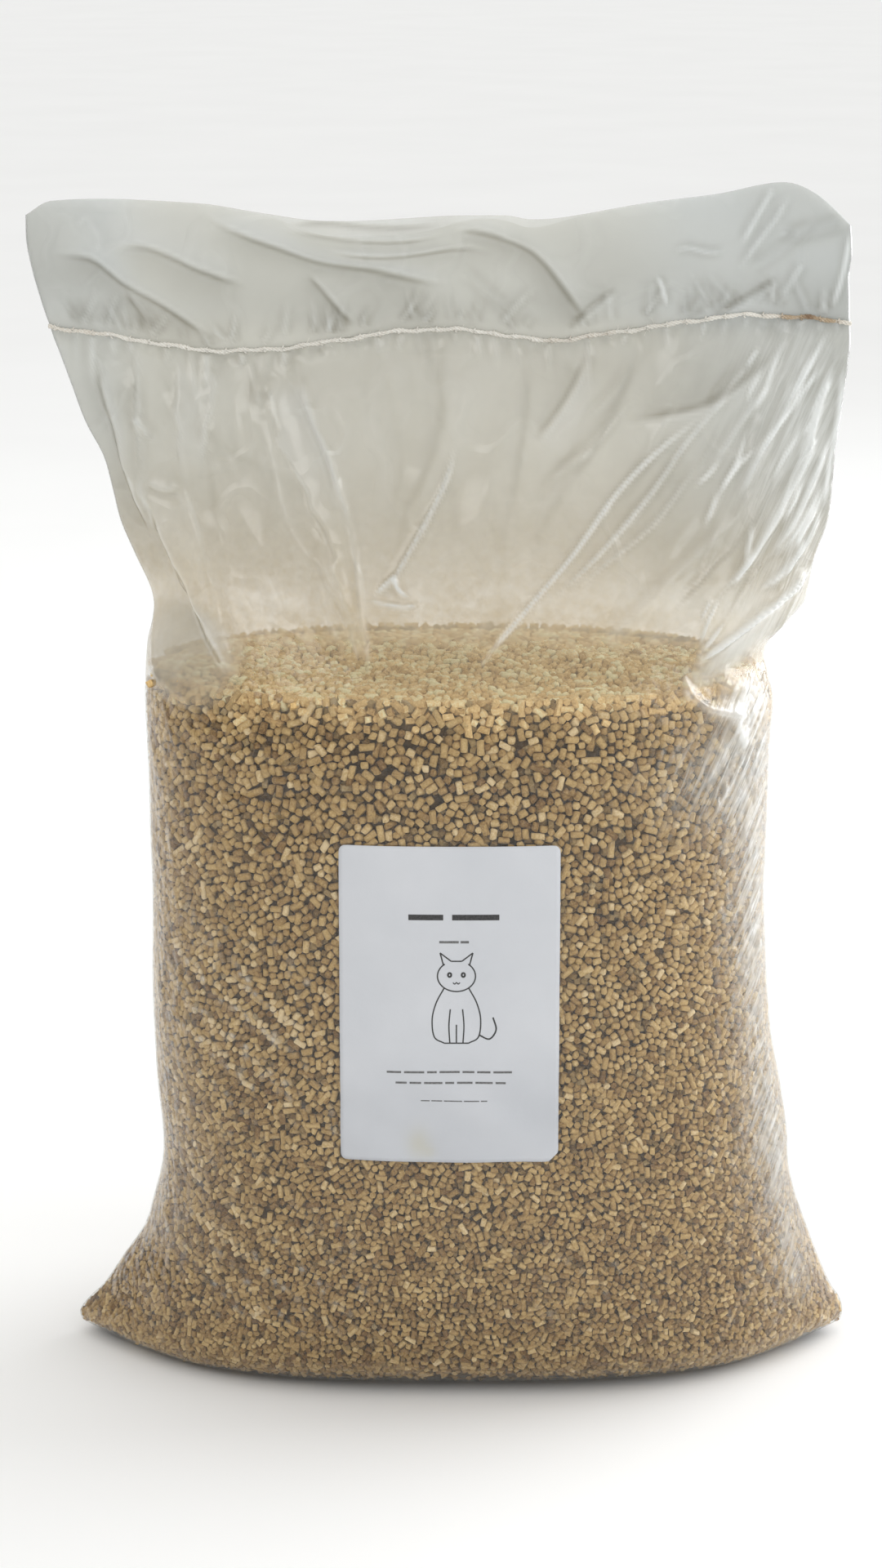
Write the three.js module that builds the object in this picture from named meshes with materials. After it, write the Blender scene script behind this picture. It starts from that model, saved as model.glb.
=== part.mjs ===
// Filled and sewn-shut clear film bag of pelleted litter: a tube of film welded along the bottom, standing on
// the floor, with a bulk of pellets inside, two closing threads near the top and a paper label on the front.
// Millimetres, +Z up, front is -Y. Origin on the floor under the middle of the bag.
import * as THREE from "three";

// ---- driving dimensions ------------------------------------------------------------------------
const FILM_T = 0.25; // film wall
const FLAT_HALF = 0.6; // half thickness of the pressed-together mouth, outside faces
const FILL_GAP = 0.35; // clearance between film and fill
const FILL_LEVEL = 338; // where the pellets stop touching the wall
const SEAM_Z = 492; // mean height of the sewing line
const LABEL_W = 100,
  LABEL_H = 150,
  LABEL_R = 3,
  LABEL_T = 0.2;
const LABEL_X = -1.2,
  LABEL_Z = 200;
const LOOPER_R = 1.05; // chain side of the seam, front
const NEEDLE_R = 0.6; // straight side of the seam, back
const AROUND = 52; // vertices round the tube
const FOOT = 0.0;

// Height, left edge, right edge, half depth, section powers p and q.
// Section: y = depth * (1 - |x/a|^p)^q, from a boxy oval (q 0.5) to a pointed lens (q 1 and more).
const PROFILE = [
  [0, -182, 192, 59, 3.0, 0.92],
  [5, -183, 193, 70, 3.0, 0.88],
  [13, -178, 191, 78, 3.0, 0.82],
  [21, -171, 186.5, 83, 2.95, 0.76],
  [39, -161, 180, 88, 2.85, 0.68],
  [56, -150, 174, 91, 2.75, 0.61],
  [73, -145, 168, 92.5, 2.7, 0.57],
  [90, -140.7, 164, 93, 2.65, 0.54],
  [107, -140, 163, 93, 2.6, 0.52],
  [132, -142, 159, 93, 2.6, 0.51],
  [157, -143, 154, 93, 2.6, 0.5],
  [182, -143.5, 151.6, 93, 2.6, 0.5],
  [207, -143, 150, 92.5, 2.6, 0.5],
  [232, -142.5, 148.8, 92, 2.6, 0.5],
  [256, -143, 149.4, 91, 2.6, 0.5],
  [280, -143, 149.6, 90, 2.55, 0.5],
  [304, -143.6, 150, 88, 2.5, 0.51],
  [322, -144, 151, 85.5, 2.5, 0.52],
  [335, -143.5, 148, 82.5, 2.45, 0.54],
  [343, -143, 146, 80, 2.4, 0.57],
  [351, -142, 149, 77, 2.4, 0.62],
  [359, -140, 157, 74, 2.35, 0.7],
  [367, -139, 164, 71, 2.3, 0.78],
  [375, -140.5, 166, 68, 2.3, 0.86],
  [390, -147, 169, 61, 2.2, 0.98],
  [406, -153.5, 174.5, 53, 2.2, 1.08],
  [421, -157, 176, 45, 2.15, 1.15],
  [436, -161, 177, 36.5, 2.1, 1.2],
  [451, -169, 179, 27, 2.1, 1.2],
  [467, -175, 181, 16, 2.05, 1.15],
  [482, -180.5, 182.4, 4.0, 2.0, 1.05],
  [488, -182.8, 182.2, 0.5, 2.0, 1.0],
  [492, -184, 182, 0, 2.0, 1.0],
  [497, -185.8, 181.7, 0.1, 2.0, 1.0],
  [505, -188, 181.5, 1.2, 2.0, 1.0],
  [519, -191, 181, 2.2, 2.0, 1.0],
  [534, -193, 182, 2.8, 2.0, 1.0],
  [548, -193, 181, 3.2, 2.0, 1.0],
];
// Sewing line and mouth edge heights against x.
const SEAM_LINE = [
  [-190, 496], [-184, 495.5], [-150, 491], [-110, 485.5], [-80, 486.5], [-50, 491], [-20, 494.5],
  [10, 494], [40, 490], [55, 490.5], [90, 496], [129, 502], [160, 500.5], [182, 498], [190, 497.5],
];
const MOUTH_LINE = [
  [-193, 547], [-182, 553], [-116, 552], [-85, 548], [-57, 545], [25, 546], [35, 544.5], [50, 545.5],
  [90, 553], [120, 557], [150, 561.5], [165, 556], [182, 541],
];

// ---- helpers --------------------------------------------------------------------------------------
function table(rows, key, col) {
  let i = 1;
  while (i < rows.length - 1 && rows[i][0] < key) i++;
  const a = rows[i - 1],
    b = rows[i];
  const t = Math.min(1, Math.max(0, (key - a[0]) / (b[0] - a[0])));
  // cubic through the neighbours, kept monotone enough by finite differences
  const p = rows[Math.max(0, i - 2)],
    n = rows[Math.min(rows.length - 1, i + 1)];
  const h = b[0] - a[0];
  const ma = i > 1 ? (b[col] - p[col]) / (b[0] - p[0]) : (b[col] - a[col]) / h;
  const mb = i < rows.length - 1 ? (n[col] - a[col]) / (n[0] - a[0]) : (b[col] - a[col]) / h;
  const t2 = t * t,
    t3 = t2 * t;
  return (
    (2 * t3 - 3 * t2 + 1) * a[col] +
    (t3 - 2 * t2 + t) * h * ma +
    (-2 * t3 + 3 * t2) * b[col] +
    (t3 - t2) * h * mb
  );
}
const smooth = (t) => {
  t = Math.min(1, Math.max(0, t));
  return t * t * (3 - 2 * t);
};
const seamZ = (x) => table(SEAM_LINE, x, 1);
const mouthZ = (x) => table(MOUTH_LINE, x, 1);

// Real height of a point whose table height is h: the table's seam and mouth heights follow their lines.
function heightAt(x, h) {
  const seam = seamZ(x);
  if (h <= 400) return h;
  if (h <= SEAM_Z) return 400 + ((h - 400) * (seam - 400)) / (SEAM_Z - 400);
  return seam + ((h - SEAM_Z) * (mouthZ(x) - seam)) / (548 - SEAM_Z);
}
// Sideways lean shared by both layers: slight near the fill, waves along the free mouth.
function lean(x, z) {
  const up = smooth((z - 380) / 110),
    free = smooth((z - 500) / 50);
  return (
    up * (3.2 * Math.sin(x / 31 + 0.6) + 1.6 * Math.sin(x / 13.5 + 2.0)) +
    free * (4.0 * Math.sin(x / 24 + 1.1) - 3.0)
  );
}
// The ears of the bottom weld stand a little off the floor.
function earLift(x, z) {
  const out = smooth((Math.abs(x - 5) - 120) / 68);
  return 6 * out * (1 - smooth(z / 55));
}
// Outside surface. t runs 0..2 pi: 0 at the right edge, pi/2 at the front, pi at the left edge.
function outside(t, h, depthShare = 1) {
  const L = table(PROFILE, h, 1),
    R = table(PROFILE, h, 2),
    D = Math.max(0, table(PROFILE, h, 3)),
    p = table(PROFILE, h, 4),
    q = table(PROFILE, h, 5);
  const c = Math.cos(t),
    s = Math.sin(t);
  const mid = (L + R) / 2,
    a = (R - L) / 2;
  const x = mid + a * c;
  const open = Math.pow(Math.max(0, 1 - Math.pow(Math.abs(c), p)), q);
  const edge = Math.pow(Math.max(0, 1 - Math.pow(Math.abs(c), 24)), 0.5);
  const y = (D * open * depthShare + FLAT_HALF * edge * (h > 300 ? 1 : 0)) * -Math.sign(s);
  const z = heightAt(x, h);
  return new THREE.Vector3(x, (Math.abs(s) < 1e-9 ? 0 : y) + lean(x, z), z + earLift(x, h));
}

// ---- film: outside grid, inside grid offset by the wall, joined round the mouth --------------------
const UNDER = [0.0, 0.4, 0.75]; // shares of the footprint depth, from the weld line outwards
const LEVELS = [
  0, 5, 13, 27, 46, 73, 107, 150, 195, 240, 282, 315, FILL_LEVEL, 350, 361, 374, 390, 408, 426, 444, 460, 474,
  482, 488, 492, 497, 513, 531, 548,
];
const angles = [];
for (let i = 0; i < AROUND; i++) {
  // slightly denser at the two side edges
  const u = (2 * Math.PI * i) / AROUND;
  angles.push(u - 0.12 * Math.sin(2 * u));
}
const rows = [];
for (const f of UNDER) rows.push(angles.map((t) => outside(t, FOOT, f)));
for (const h of LEVELS) rows.push(angles.map((t) => outside(t, h)));
const FILL_ROW = UNDER.length + LEVELS.indexOf(FILL_LEVEL);

// Faces between rows j and j + 1, outwards. Row 0 is the weld line, where front and back vertices meet.
const weldOf = (i) => (i <= AROUND / 2 ? i : AROUND - i);
function indexGrid(rowCount) {
  const id = [];
  let n = 0;
  for (let j = 0; j < rowCount; j++) {
    id.push([]);
    for (let i = 0; i < AROUND; i++) id[j].push(j === 0 && i > AROUND / 2 ? id[0][weldOf(i)] : n++);
  }
  return { id, n };
}
function gridFaces(id) {
  const f = [];
  for (let j = 0; j + 1 < id.length; j++)
    for (let i = 0; i < AROUND; i++) {
      const k = (i + 1) % AROUND;
      const a = id[j][i],
        b = id[j][k],
        c = id[j + 1][k],
        d = id[j + 1][i];
      // angles run right -> front -> left, so seen from outside the ring turns clockwise from above
      if (a !== b) f.push([a, c, b]);
      f.push([a, d, c]);
    }
  return f.filter((t) => new Set(t).size === 3);
}
function flatten(grid, id, n) {
  const v = new Array(n);
  for (let j = 0; j < id.length; j++) for (let i = 0; i < AROUND; i++) if (!v[id[j][i]]) v[id[j][i]] = grid[j][i].clone();
  return v;
}
// Moves every vertex inwards so that each neighbouring face moves by about the given distance.
function inset(v, faces, distance) {
  const sum = v.map(() => new THREE.Vector3()),
    per = v.map(() => []);
  for (const [a, b, c] of faces) {
    const n = new THREE.Vector3().subVectors(v[b], v[a]).cross(new THREE.Vector3().subVectors(v[c], v[a]));
    if (n.length() < 1e-9) continue;
    n.normalize();
    for (const [p, q, r] of [[a, b, c], [b, c, a], [c, a, b]]) {
      const e = new THREE.Vector3().subVectors(v[q], v[p]).angleTo(new THREE.Vector3().subVectors(v[r], v[p]));
      sum[p].addScaledVector(n, e);
      per[p].push(n);
    }
  }
  return v.map((p, i) => {
    const n = sum[i].clone().normalize();
    let least = 1;
    for (const m of per[i]) least = Math.min(least, n.dot(m));
    return p.clone().addScaledVector(n, -distance / Math.max(0.42, least));
  });
}
function geometry(v, faces) {
  const g = new THREE.BufferGeometry();
  g.setAttribute("position", new THREE.Float32BufferAttribute(v.flatMap((p) => [p.x, p.y, p.z]), 3));
  g.setIndex(faces.flat());
  g.computeVertexNormals();
  return g;
}
const { id, n } = indexGrid(rows.length);
const outer = flatten(rows, id, n),
  outerFaces = gridFaces(id);
const inner = inset(outer, outerFaces, FILM_T);
const filmFaces = [
  ...outerFaces,
  ...outerFaces.map(([a, b, c]) => [a + n, c + n, b + n]),
];
const top = id[rows.length - 1];
for (let i = 0; i < AROUND; i++) {
  const k = (i + 1) % AROUND;
  filmFaces.push([top[i], top[i] + n, top[k] + n], [top[i], top[k] + n, top[k]]);
}
const filmGeometry = geometry([...outer, ...inner], filmFaces);

// ---- fill: the film's lower rows, inset, under a slightly uneven top ------------------------------------
const fillId = indexGrid(FILL_ROW + 1);
const fillFaces = gridFaces(fillId.id);
const fillV = inset(outer, outerFaces, FILM_T + FILL_GAP).slice(0, fillId.n);
const ring = fillId.id[FILL_ROW];
const ACROSS = 7;
function heap(x, y, s) {
  const in_ = Math.sin(Math.PI * s);
  return in_ * (3.0 + 1.6 * Math.sin(x / 23 + 0.4) + 1.2 * Math.sin(y / 17 + x / 41) + 0.02 * y);
}
const capAt = [];
for (let i = 0; i <= AROUND / 2; i++) {
  const a = fillV[ring[i]],
    b = fillV[ring[(AROUND - i) % AROUND]];
  const line = [];
  for (let k = 0; k <= ACROSS; k++) {
    if (i === 0 || i === AROUND / 2) line.push(ring[i]);
    else if (k === 0) line.push(ring[i]);
    else if (k === ACROSS) line.push(ring[AROUND - i]);
    else {
      const s = k / ACROSS,
        p = new THREE.Vector3().lerpVectors(a, b, s);
      p.z += heap(p.x, p.y, s) * Math.min(1, Math.min(i, AROUND / 2 - i) / 4);
      line.push(fillV.length);
      fillV.push(p);
    }
  }
  capAt.push(line);
}
for (let i = 0; i < AROUND / 2; i++)
  for (let k = 0; k < ACROSS; k++) {
    const a = capAt[i][k],
      b = capAt[i + 1][k],
      c = capAt[i + 1][k + 1],
      d = capAt[i][k + 1];
    for (const t of [[a, c, b], [a, d, c]]) if (new Set(t).size === 3) fillFaces.push(t);
  }
const fillGeometry = geometry(fillV, fillFaces);

// ---- label: a rounded rectangle laid on the front, measured along the surface ------------------------------
function frontY(x, h) {
  const L = table(PROFILE, h, 1),
    R = table(PROFILE, h, 2);
  const c = Math.min(1, Math.max(-1, (x - (L + R) / 2) / ((R - L) / 2)));
  return outside(Math.acos(c), h).y;
}
function alongX(s) {
  // x at arc length s from LABEL_X along the surface at the label's middle height
  let x = LABEL_X,
    left = Math.abs(s);
  const step = Math.sign(s) * 0.5;
  while (left > 1e-9) {
    const d = Math.hypot(step, frontY(x + step, LABEL_Z) - frontY(x, LABEL_Z));
    if (d >= left) return x + (step * left) / d;
    left -= d;
    x += step;
  }
  return x;
}
const LU = 10,
  LV = 12;
function labelPoint(u, v, off) {
  // u, v in mm from the label's centre
  const x = alongX(u),
    z = LABEL_Z + v,
    e = 0.5;
  const p = new THREE.Vector3(x, frontY(x, z), z);
  const tx = new THREE.Vector3(2 * e, frontY(x + e, z) - frontY(x - e, z), 0),
    tz = new THREE.Vector3(0, frontY(x, z + e) - frontY(x, z - e), 2 * e);
  const nrm = tx.cross(tz).normalize(); // towards the front
  return p.addScaledVector(nrm, off);
}
const labelV = [],
  labelF = [];
const lcell = [];
for (let side = 0; side < 2; side++) {
  const off = side === 0 ? 0.3 + LABEL_T : 0.3;
  lcell.push([]);
  for (let j = 0; j <= LV; j++) {
    lcell[side].push([]);
    for (let i = 0; i <= LU; i++) {
      let u = (i / LU - 0.5) * LABEL_W,
        v = (j / LV - 0.5) * LABEL_H;
      // corner vertices are pulled in to the corner arc
      const cu = Math.abs(u) - (LABEL_W / 2 - LABEL_R),
        cv = Math.abs(v) - (LABEL_H / 2 - LABEL_R);
      if (cu > 0 && cv > 0) {
        const r = Math.hypot(cu, cv);
        if (r > LABEL_R) {
          u -= Math.sign(u) * (cu - (cu * LABEL_R) / r);
          v -= Math.sign(v) * (cv - (cv * LABEL_R) / r);
        }
      }
      lcell[side][j].push(labelV.length);
      labelV.push(labelPoint(u, v, off));
    }
  }
}
for (let j = 0; j < LV; j++)
  for (let i = 0; i < LU; i++) {
    for (let side = 0; side < 2; side++) {
      const a = lcell[side][j][i],
        b = lcell[side][j][i + 1],
        c = lcell[side][j + 1][i + 1],
        d = lcell[side][j + 1][i];
      labelF.push(...(side === 0 ? [[a, b, c], [a, c, d]] : [[a, c, b], [a, d, c]]));
    }
  }
function rim(pairs) {
  // pairs of [front, back] vertices, going round so that the material is on the left seen from the front
  for (let k = 0; k + 1 < pairs.length; k++) {
    const [f0, b0] = pairs[k],
      [f1, b1] = pairs[k + 1];
    labelF.push([f0, b0, b1], [f0, b1, f1]);
  }
}
const loop = [];
for (let i = 0; i <= LU; i++) loop.push([lcell[0][0][i], lcell[1][0][i]]);
for (let j = 1; j <= LV; j++) loop.push([lcell[0][j][LU], lcell[1][j][LU]]);
for (let i = LU - 1; i >= 0; i--) loop.push([lcell[0][LV][i], lcell[1][LV][i]]);
for (let j = LV - 1; j >= 0; j--) loop.push([lcell[0][j][0], lcell[1][j][0]]);
rim(loop);
const labelGeometry = geometry(labelV, labelF);

// ---- threads: one along each face of the sewing line -------------------------------------------------------
class SeamCurve extends THREE.Curve {
  constructor(side, r) {
    super();
    this.side = side;
    this.r = r;
    // the film's own vertices along the sewing line, from left to right
    this.line = angles.filter((t) => t <= Math.PI + 1e-9).map((t) => outside(t, SEAM_Z)).sort((a, b) => a.x - b.x);
  }
  getPoint(k, target = new THREE.Vector3()) {
    const x = -187 + k * 372,
      l = this.line;
    let i = 1;
    while (i < l.length - 1 && l[i].x < x) i++;
    const f = (x - l[i - 1].x) / (l[i].x - l[i - 1].x);
    const mid = l[i - 1].y * (1 - f) + l[i].y * f + FLAT_HALF; // the front layer is FLAT_HALF before the middle
    const z = l[i - 1].z * (1 - f) + l[i].z * f;
    return target.set(x, mid + this.side * (FLAT_HALF + 0.75 + this.r), z);
  }
}
function thread(side, r) {
  const section = new THREE.Shape();
  for (let k = 0; k < 8; k++) {
    const a = (2 * Math.PI * k) / 8;
    if (k === 0) section.moveTo(r, 0);
    else section.lineTo(r * Math.cos(a), r * Math.sin(a));
  }
  section.closePath();
  return new THREE.ExtrudeGeometry(section, { steps: 46, bevelEnabled: false, extrudePath: new SeamCurve(side, r) });
}

// ---- the object ----------------------------------------------------------------------------------------------
const group = new THREE.Group();
function add(name, geo, color, roughness, metalness = 0) {
  const mesh = new THREE.Mesh(geo, new THREE.MeshStandardMaterial({ color, roughness, metalness }));
  mesh.name = name;
  group.add(mesh);
  return mesh;
}
const film = add("film_bag", filmGeometry, 0xcfccbf, 0.2);
film.material.transparent = true;
film.material.opacity = 0.35;
add("pellet_fill", fillGeometry, 0xa38a60, 0.9);
add("paper_label", labelGeometry, 0xd9dbe0, 0.6);
add("looper_thread", thread(-1, LOOPER_R), 0xd8d4c4, 0.85);
add("needle_thread", thread(1, NEEDLE_R), 0xd8d4c4, 0.85);

export default group;
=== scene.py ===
"""Clear film bag of pelleted litter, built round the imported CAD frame. Lengths in mm inside, metres in Blender."""
import math

import bpy
import numpy as np
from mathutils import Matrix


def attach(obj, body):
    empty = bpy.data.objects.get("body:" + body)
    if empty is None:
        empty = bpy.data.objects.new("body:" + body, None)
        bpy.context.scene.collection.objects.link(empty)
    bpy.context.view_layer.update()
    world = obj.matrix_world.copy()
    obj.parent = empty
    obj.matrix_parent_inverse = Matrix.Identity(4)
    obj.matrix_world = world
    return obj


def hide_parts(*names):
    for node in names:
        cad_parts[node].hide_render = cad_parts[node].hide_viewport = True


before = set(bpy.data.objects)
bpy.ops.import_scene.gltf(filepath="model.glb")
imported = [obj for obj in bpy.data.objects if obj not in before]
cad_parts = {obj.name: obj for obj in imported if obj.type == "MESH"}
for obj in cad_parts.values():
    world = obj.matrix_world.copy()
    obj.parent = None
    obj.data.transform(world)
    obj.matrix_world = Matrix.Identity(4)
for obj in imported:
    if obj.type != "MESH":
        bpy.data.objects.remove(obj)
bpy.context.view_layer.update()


scene = bpy.context.scene

# ------------------------------------------------------------------------------------------------
# bag shape, the same tables as the CAD part
# ------------------------------------------------------------------------------------------------
FLAT_HALF = 0.6
SEAM_Z = 492.0
LABEL_X, LABEL_Z, LABEL_W, LABEL_H, LABEL_R = -1.2, 200.0, 100.0, 150.0, 3.0
FILL_LEVEL = 338.0
PROFILE = np.array([
    [0, -182, 192, 59, 3.0, 0.92], [5, -183, 193, 70, 3.0, 0.88], [13, -178, 191, 78, 3.0, 0.82],
    [21, -171, 186.5, 83, 2.95, 0.76], [39, -161, 180, 88, 2.85, 0.68], [56, -150, 174, 91, 2.75, 0.61],
    [73, -145, 168, 92.5, 2.7, 0.57], [90, -140.7, 164, 93, 2.65, 0.54], [107, -140, 163, 93, 2.6, 0.52],
    [132, -142, 159, 93, 2.6, 0.51], [157, -143, 154, 93, 2.6, 0.5], [182, -143.5, 151.6, 93, 2.6, 0.5],
    [207, -143, 150, 92.5, 2.6, 0.5], [232, -142.5, 148.8, 92, 2.6, 0.5], [256, -143, 149.4, 91, 2.6, 0.5],
    [280, -143, 149.6, 90, 2.55, 0.5], [304, -143.6, 150, 88, 2.5, 0.51], [322, -144, 151, 85.5, 2.5, 0.52],
    [335, -143.5, 148, 82.5, 2.45, 0.54], [343, -143, 146, 80, 2.4, 0.57], [351, -142, 149, 77, 2.4, 0.62],
    [359, -140, 157, 74, 2.35, 0.7], [367, -139, 164, 71, 2.3, 0.78], [375, -140.5, 166, 68, 2.3, 0.86],
    [390, -147, 169, 61, 2.2, 0.98], [406, -153.5, 174.5, 53, 2.2, 1.08], [421, -157, 176, 45, 2.15, 1.15],
    [436, -161, 177, 36.5, 2.1, 1.2], [451, -169, 179, 27, 2.1, 1.2], [467, -175, 181, 16, 2.05, 1.15],
    [482, -180.5, 182.4, 4.0, 2.0, 1.05], [488, -182.8, 182.2, 0.5, 2.0, 1.0], [492, -184, 182, 0, 2.0, 1.0],
    [497, -185.8, 181.7, 0.1, 2.0, 1.0], [505, -188, 181.5, 1.2, 2.0, 1.0], [519, -191, 181, 2.2, 2.0, 1.0],
    [534, -193, 182, 2.8, 2.0, 1.0], [548, -193, 181, 3.2, 2.0, 1.0]], float)
SEAM_LINE = np.array([
    [-190, 496], [-184, 495.5], [-150, 491], [-110, 485.5], [-80, 486.5], [-50, 491], [-20, 494.5],
    [10, 494], [40, 490], [55, 490.5], [90, 496], [129, 502], [160, 500.5], [182, 498], [190, 497.5]], float)
MOUTH_LINE = np.array([
    [-193, 547], [-182, 553], [-116, 552], [-85, 548], [-57, 545], [25, 546], [35, 544.5], [50, 545.5],
    [90, 553], [120, 557], [150, 561.5], [165, 556], [182, 541]], float)


def table(rows, key, col):
    key = np.asarray(key, float)
    xs = rows[:, 0]
    i = np.clip(np.searchsorted(xs, key, side="left"), 1, len(xs) - 1)
    xa, xb = xs[i - 1], xs[i]
    ya, yb = rows[i - 1, col], rows[i, col]
    ip, im = np.maximum(i - 2, 0), np.minimum(i + 1, len(xs) - 1)
    h = xb - xa
    with np.errstate(divide="ignore", invalid="ignore"):
        ma = np.where(i > 1, (yb - rows[ip, col]) / (xb - xs[ip]), (yb - ya) / h)
        mb = np.where(i < len(xs) - 1, (rows[im, col] - ya) / np.maximum(xs[im] - xa, 1e-9), (yb - ya) / h)
    t = np.clip((key - xa) / h, 0, 1)
    t2, t3 = t * t, t * t * t
    return (2 * t3 - 3 * t2 + 1) * ya + (t3 - 2 * t2 + t) * h * ma + (-2 * t3 + 3 * t2) * yb + (t3 - t2) * h * mb


def smooth(t):
    t = np.clip(t, 0, 1)
    return t * t * (3 - 2 * t)


def seam_z(x):
    return table(SEAM_LINE, x, 1)


def mouth_z(x):
    return table(MOUTH_LINE, x, 1)


def height_at(x, h):
    seam = seam_z(x)
    if h <= 400:
        return np.full_like(x, h)
    if h <= SEAM_Z:
        return 400 + ((h - 400) * (seam - 400)) / (SEAM_Z - 400)
    return seam + ((h - SEAM_Z) * (mouth_z(x) - seam)) / (548 - SEAM_Z)


def lean(x, z):
    up, free = smooth((z - 380) / 110), smooth((z - 500) / 50)
    return up * (3.2 * np.sin(x / 31 + 0.6) + 1.6 * np.sin(x / 13.5 + 2.0)) + free * (
        4.0 * np.sin(x / 24 + 1.1) - 3.0)


def ear_lift(x, z):
    return 6 * smooth((np.abs(x - 5) - 120) / 68) * (1 - smooth(z / 55))


def half_curve(h, share, side, n=1400):
    """Fine polyline of one side of the section at table height h, right edge to left edge. side -1 is the front."""
    # denser near the two edges
    u = np.linspace(0, 1, n)
    t = np.pi * (u - 0.9 * np.sin(2 * np.pi * u) / (2 * np.pi))
    L, R, D, p, q = [float(table(PROFILE, h, k)) for k in (1, 2, 3, 4, 5)]
    D = max(0.0, D)
    c = np.cos(t)
    x = (L + R) / 2 + (R - L) / 2 * c
    open_ = np.maximum(0, 1 - np.abs(c) ** p) ** q
    edge = np.maximum(0, 1 - np.abs(c) ** 24) ** 0.5
    y = (D * open_ * share + FLAT_HALF * edge * (1 if h > 300 else 0)) * side
    z = height_at(x, h)
    return np.stack([x, y + lean(x, z), z + ear_lift(x, h)], 1)


def resample(c, n):
    s = np.concatenate([[0], np.cumsum(np.linalg.norm(np.diff(c, axis=0), axis=1))])
    f = np.linspace(0, s[-1], n)
    return np.stack([np.interp(f, s, c[:, k]) for k in range(3)], 1), s[-1]


COLS = 300
rows_h = [(0.0, k) for k in (0.0, 0.2, 0.4, 0.6, 0.8)]
rows_h += [(h, 1.0) for h in (0, 1.2, 2.8, 5, 8, 11.5, 15, 19, 23.5, 28)]
rows_h += [(h, 1.0) for h in np.arange(34, 296, 7.0)]
rows_h += [(h, 1.0) for h in np.linspace(298, 548, 188)]
RING = 2 * COLS
base = np.zeros((len(rows_h), RING, 3))
for j, (h, share) in enumerate(rows_h):
    for side, first in ((-1, 0), (1, COLS)):
        c, _ = resample(half_curve(h, share, side), COLS + 1)
        if side == -1:
            base[j, 0:COLS + 1] = c
        else:
            base[j, COLS:RING] = c[::-1][:-1]
            base[j, 0] = c[0]
NROW = len(rows_h)
H_OF = np.array([h for h, _ in rows_h])
SHARE_OF = np.array([k for _, k in rows_h])


def grid_normals(P):
    du = np.roll(P, -1, 1) - np.roll(P, 1, 1)
    dv = np.empty_like(P)
    dv[1:-1] = P[2:] - P[:-2]
    dv[0] = P[1] - P[0]
    dv[-1] = P[-1] - P[-2]
    n = np.cross(dv, du)  # columns run right -> front -> left, rows run up
    ln = np.linalg.norm(n, axis=2, keepdims=True)
    return n / np.maximum(ln, 1e-12)


NORM = grid_normals(base)
if NORM[60, COLS // 2, 1] > 0:
    NORM = -NORM
# the edge columns of the flat mouth point sideways, not along the sheet
IS_FRONT = np.zeros(RING, bool)
IS_FRONT[1:COLS] = True
X, Y, Z = base[..., 0], base[..., 1], base[..., 2]

# ------------------------------------------------------------------------------------------------
# folds: polylines in front-view mm, laid on the front or the back layer
# ------------------------------------------------------------------------------------------------


def along(x, z, pts):
    """Distance to a polyline, side of it and share of its length, for every point."""
    pts = np.asarray(pts, float)
    best = np.full(x.shape, 1e9)
    sign = np.ones(x.shape)
    frac = np.zeros(x.shape)
    seg = np.linalg.norm(np.diff(pts, axis=0), axis=1)
    cum = np.concatenate([[0], np.cumsum(seg)])
    for k in range(len(pts) - 1):
        a, b = pts[k], pts[k + 1]
        d = (b - a) / max(seg[k], 1e-9)
        u = (x - a[0]) * d[0] + (z - a[1]) * d[1]
        uc = np.clip(u, 0, seg[k])
        ex, ez = x - (a[0] + d[0] * uc), z - (a[1] + d[1] * uc)
        dist = np.hypot(ex, ez)
        near = dist < best
        best = np.where(near, dist, best)
        sign = np.where(near, np.sign(d[0] * ez - d[1] * ex), sign)
        frac = np.where(near, (cum[k] + uc) / cum[-1], frac)
    return best, sign, frac


def round_line(pts, n=4):
    """Catmull-Rom through the points, so that a fold has no corners."""
    p = np.asarray(pts, float)
    if len(p) < 3:
        return p
    q = np.vstack([2 * p[0] - p[1], p, 2 * p[-1] - p[-2]])
    out = []
    for k in range(1, len(q) - 2):
        for t in np.arange(n) / n:
            out.append(0.5 * ((2 * q[k]) + (q[k + 1] - q[k - 1]) * t + (2 * q[k - 1] - 5 * q[k] + 4 * q[k + 1] - q[k + 2])
                              * t * t + (3 * q[k] - q[k - 1] - 3 * q[k + 1] + q[k + 2]) * t ** 3))
    out.append(p[-1])
    return np.array(out)


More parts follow.
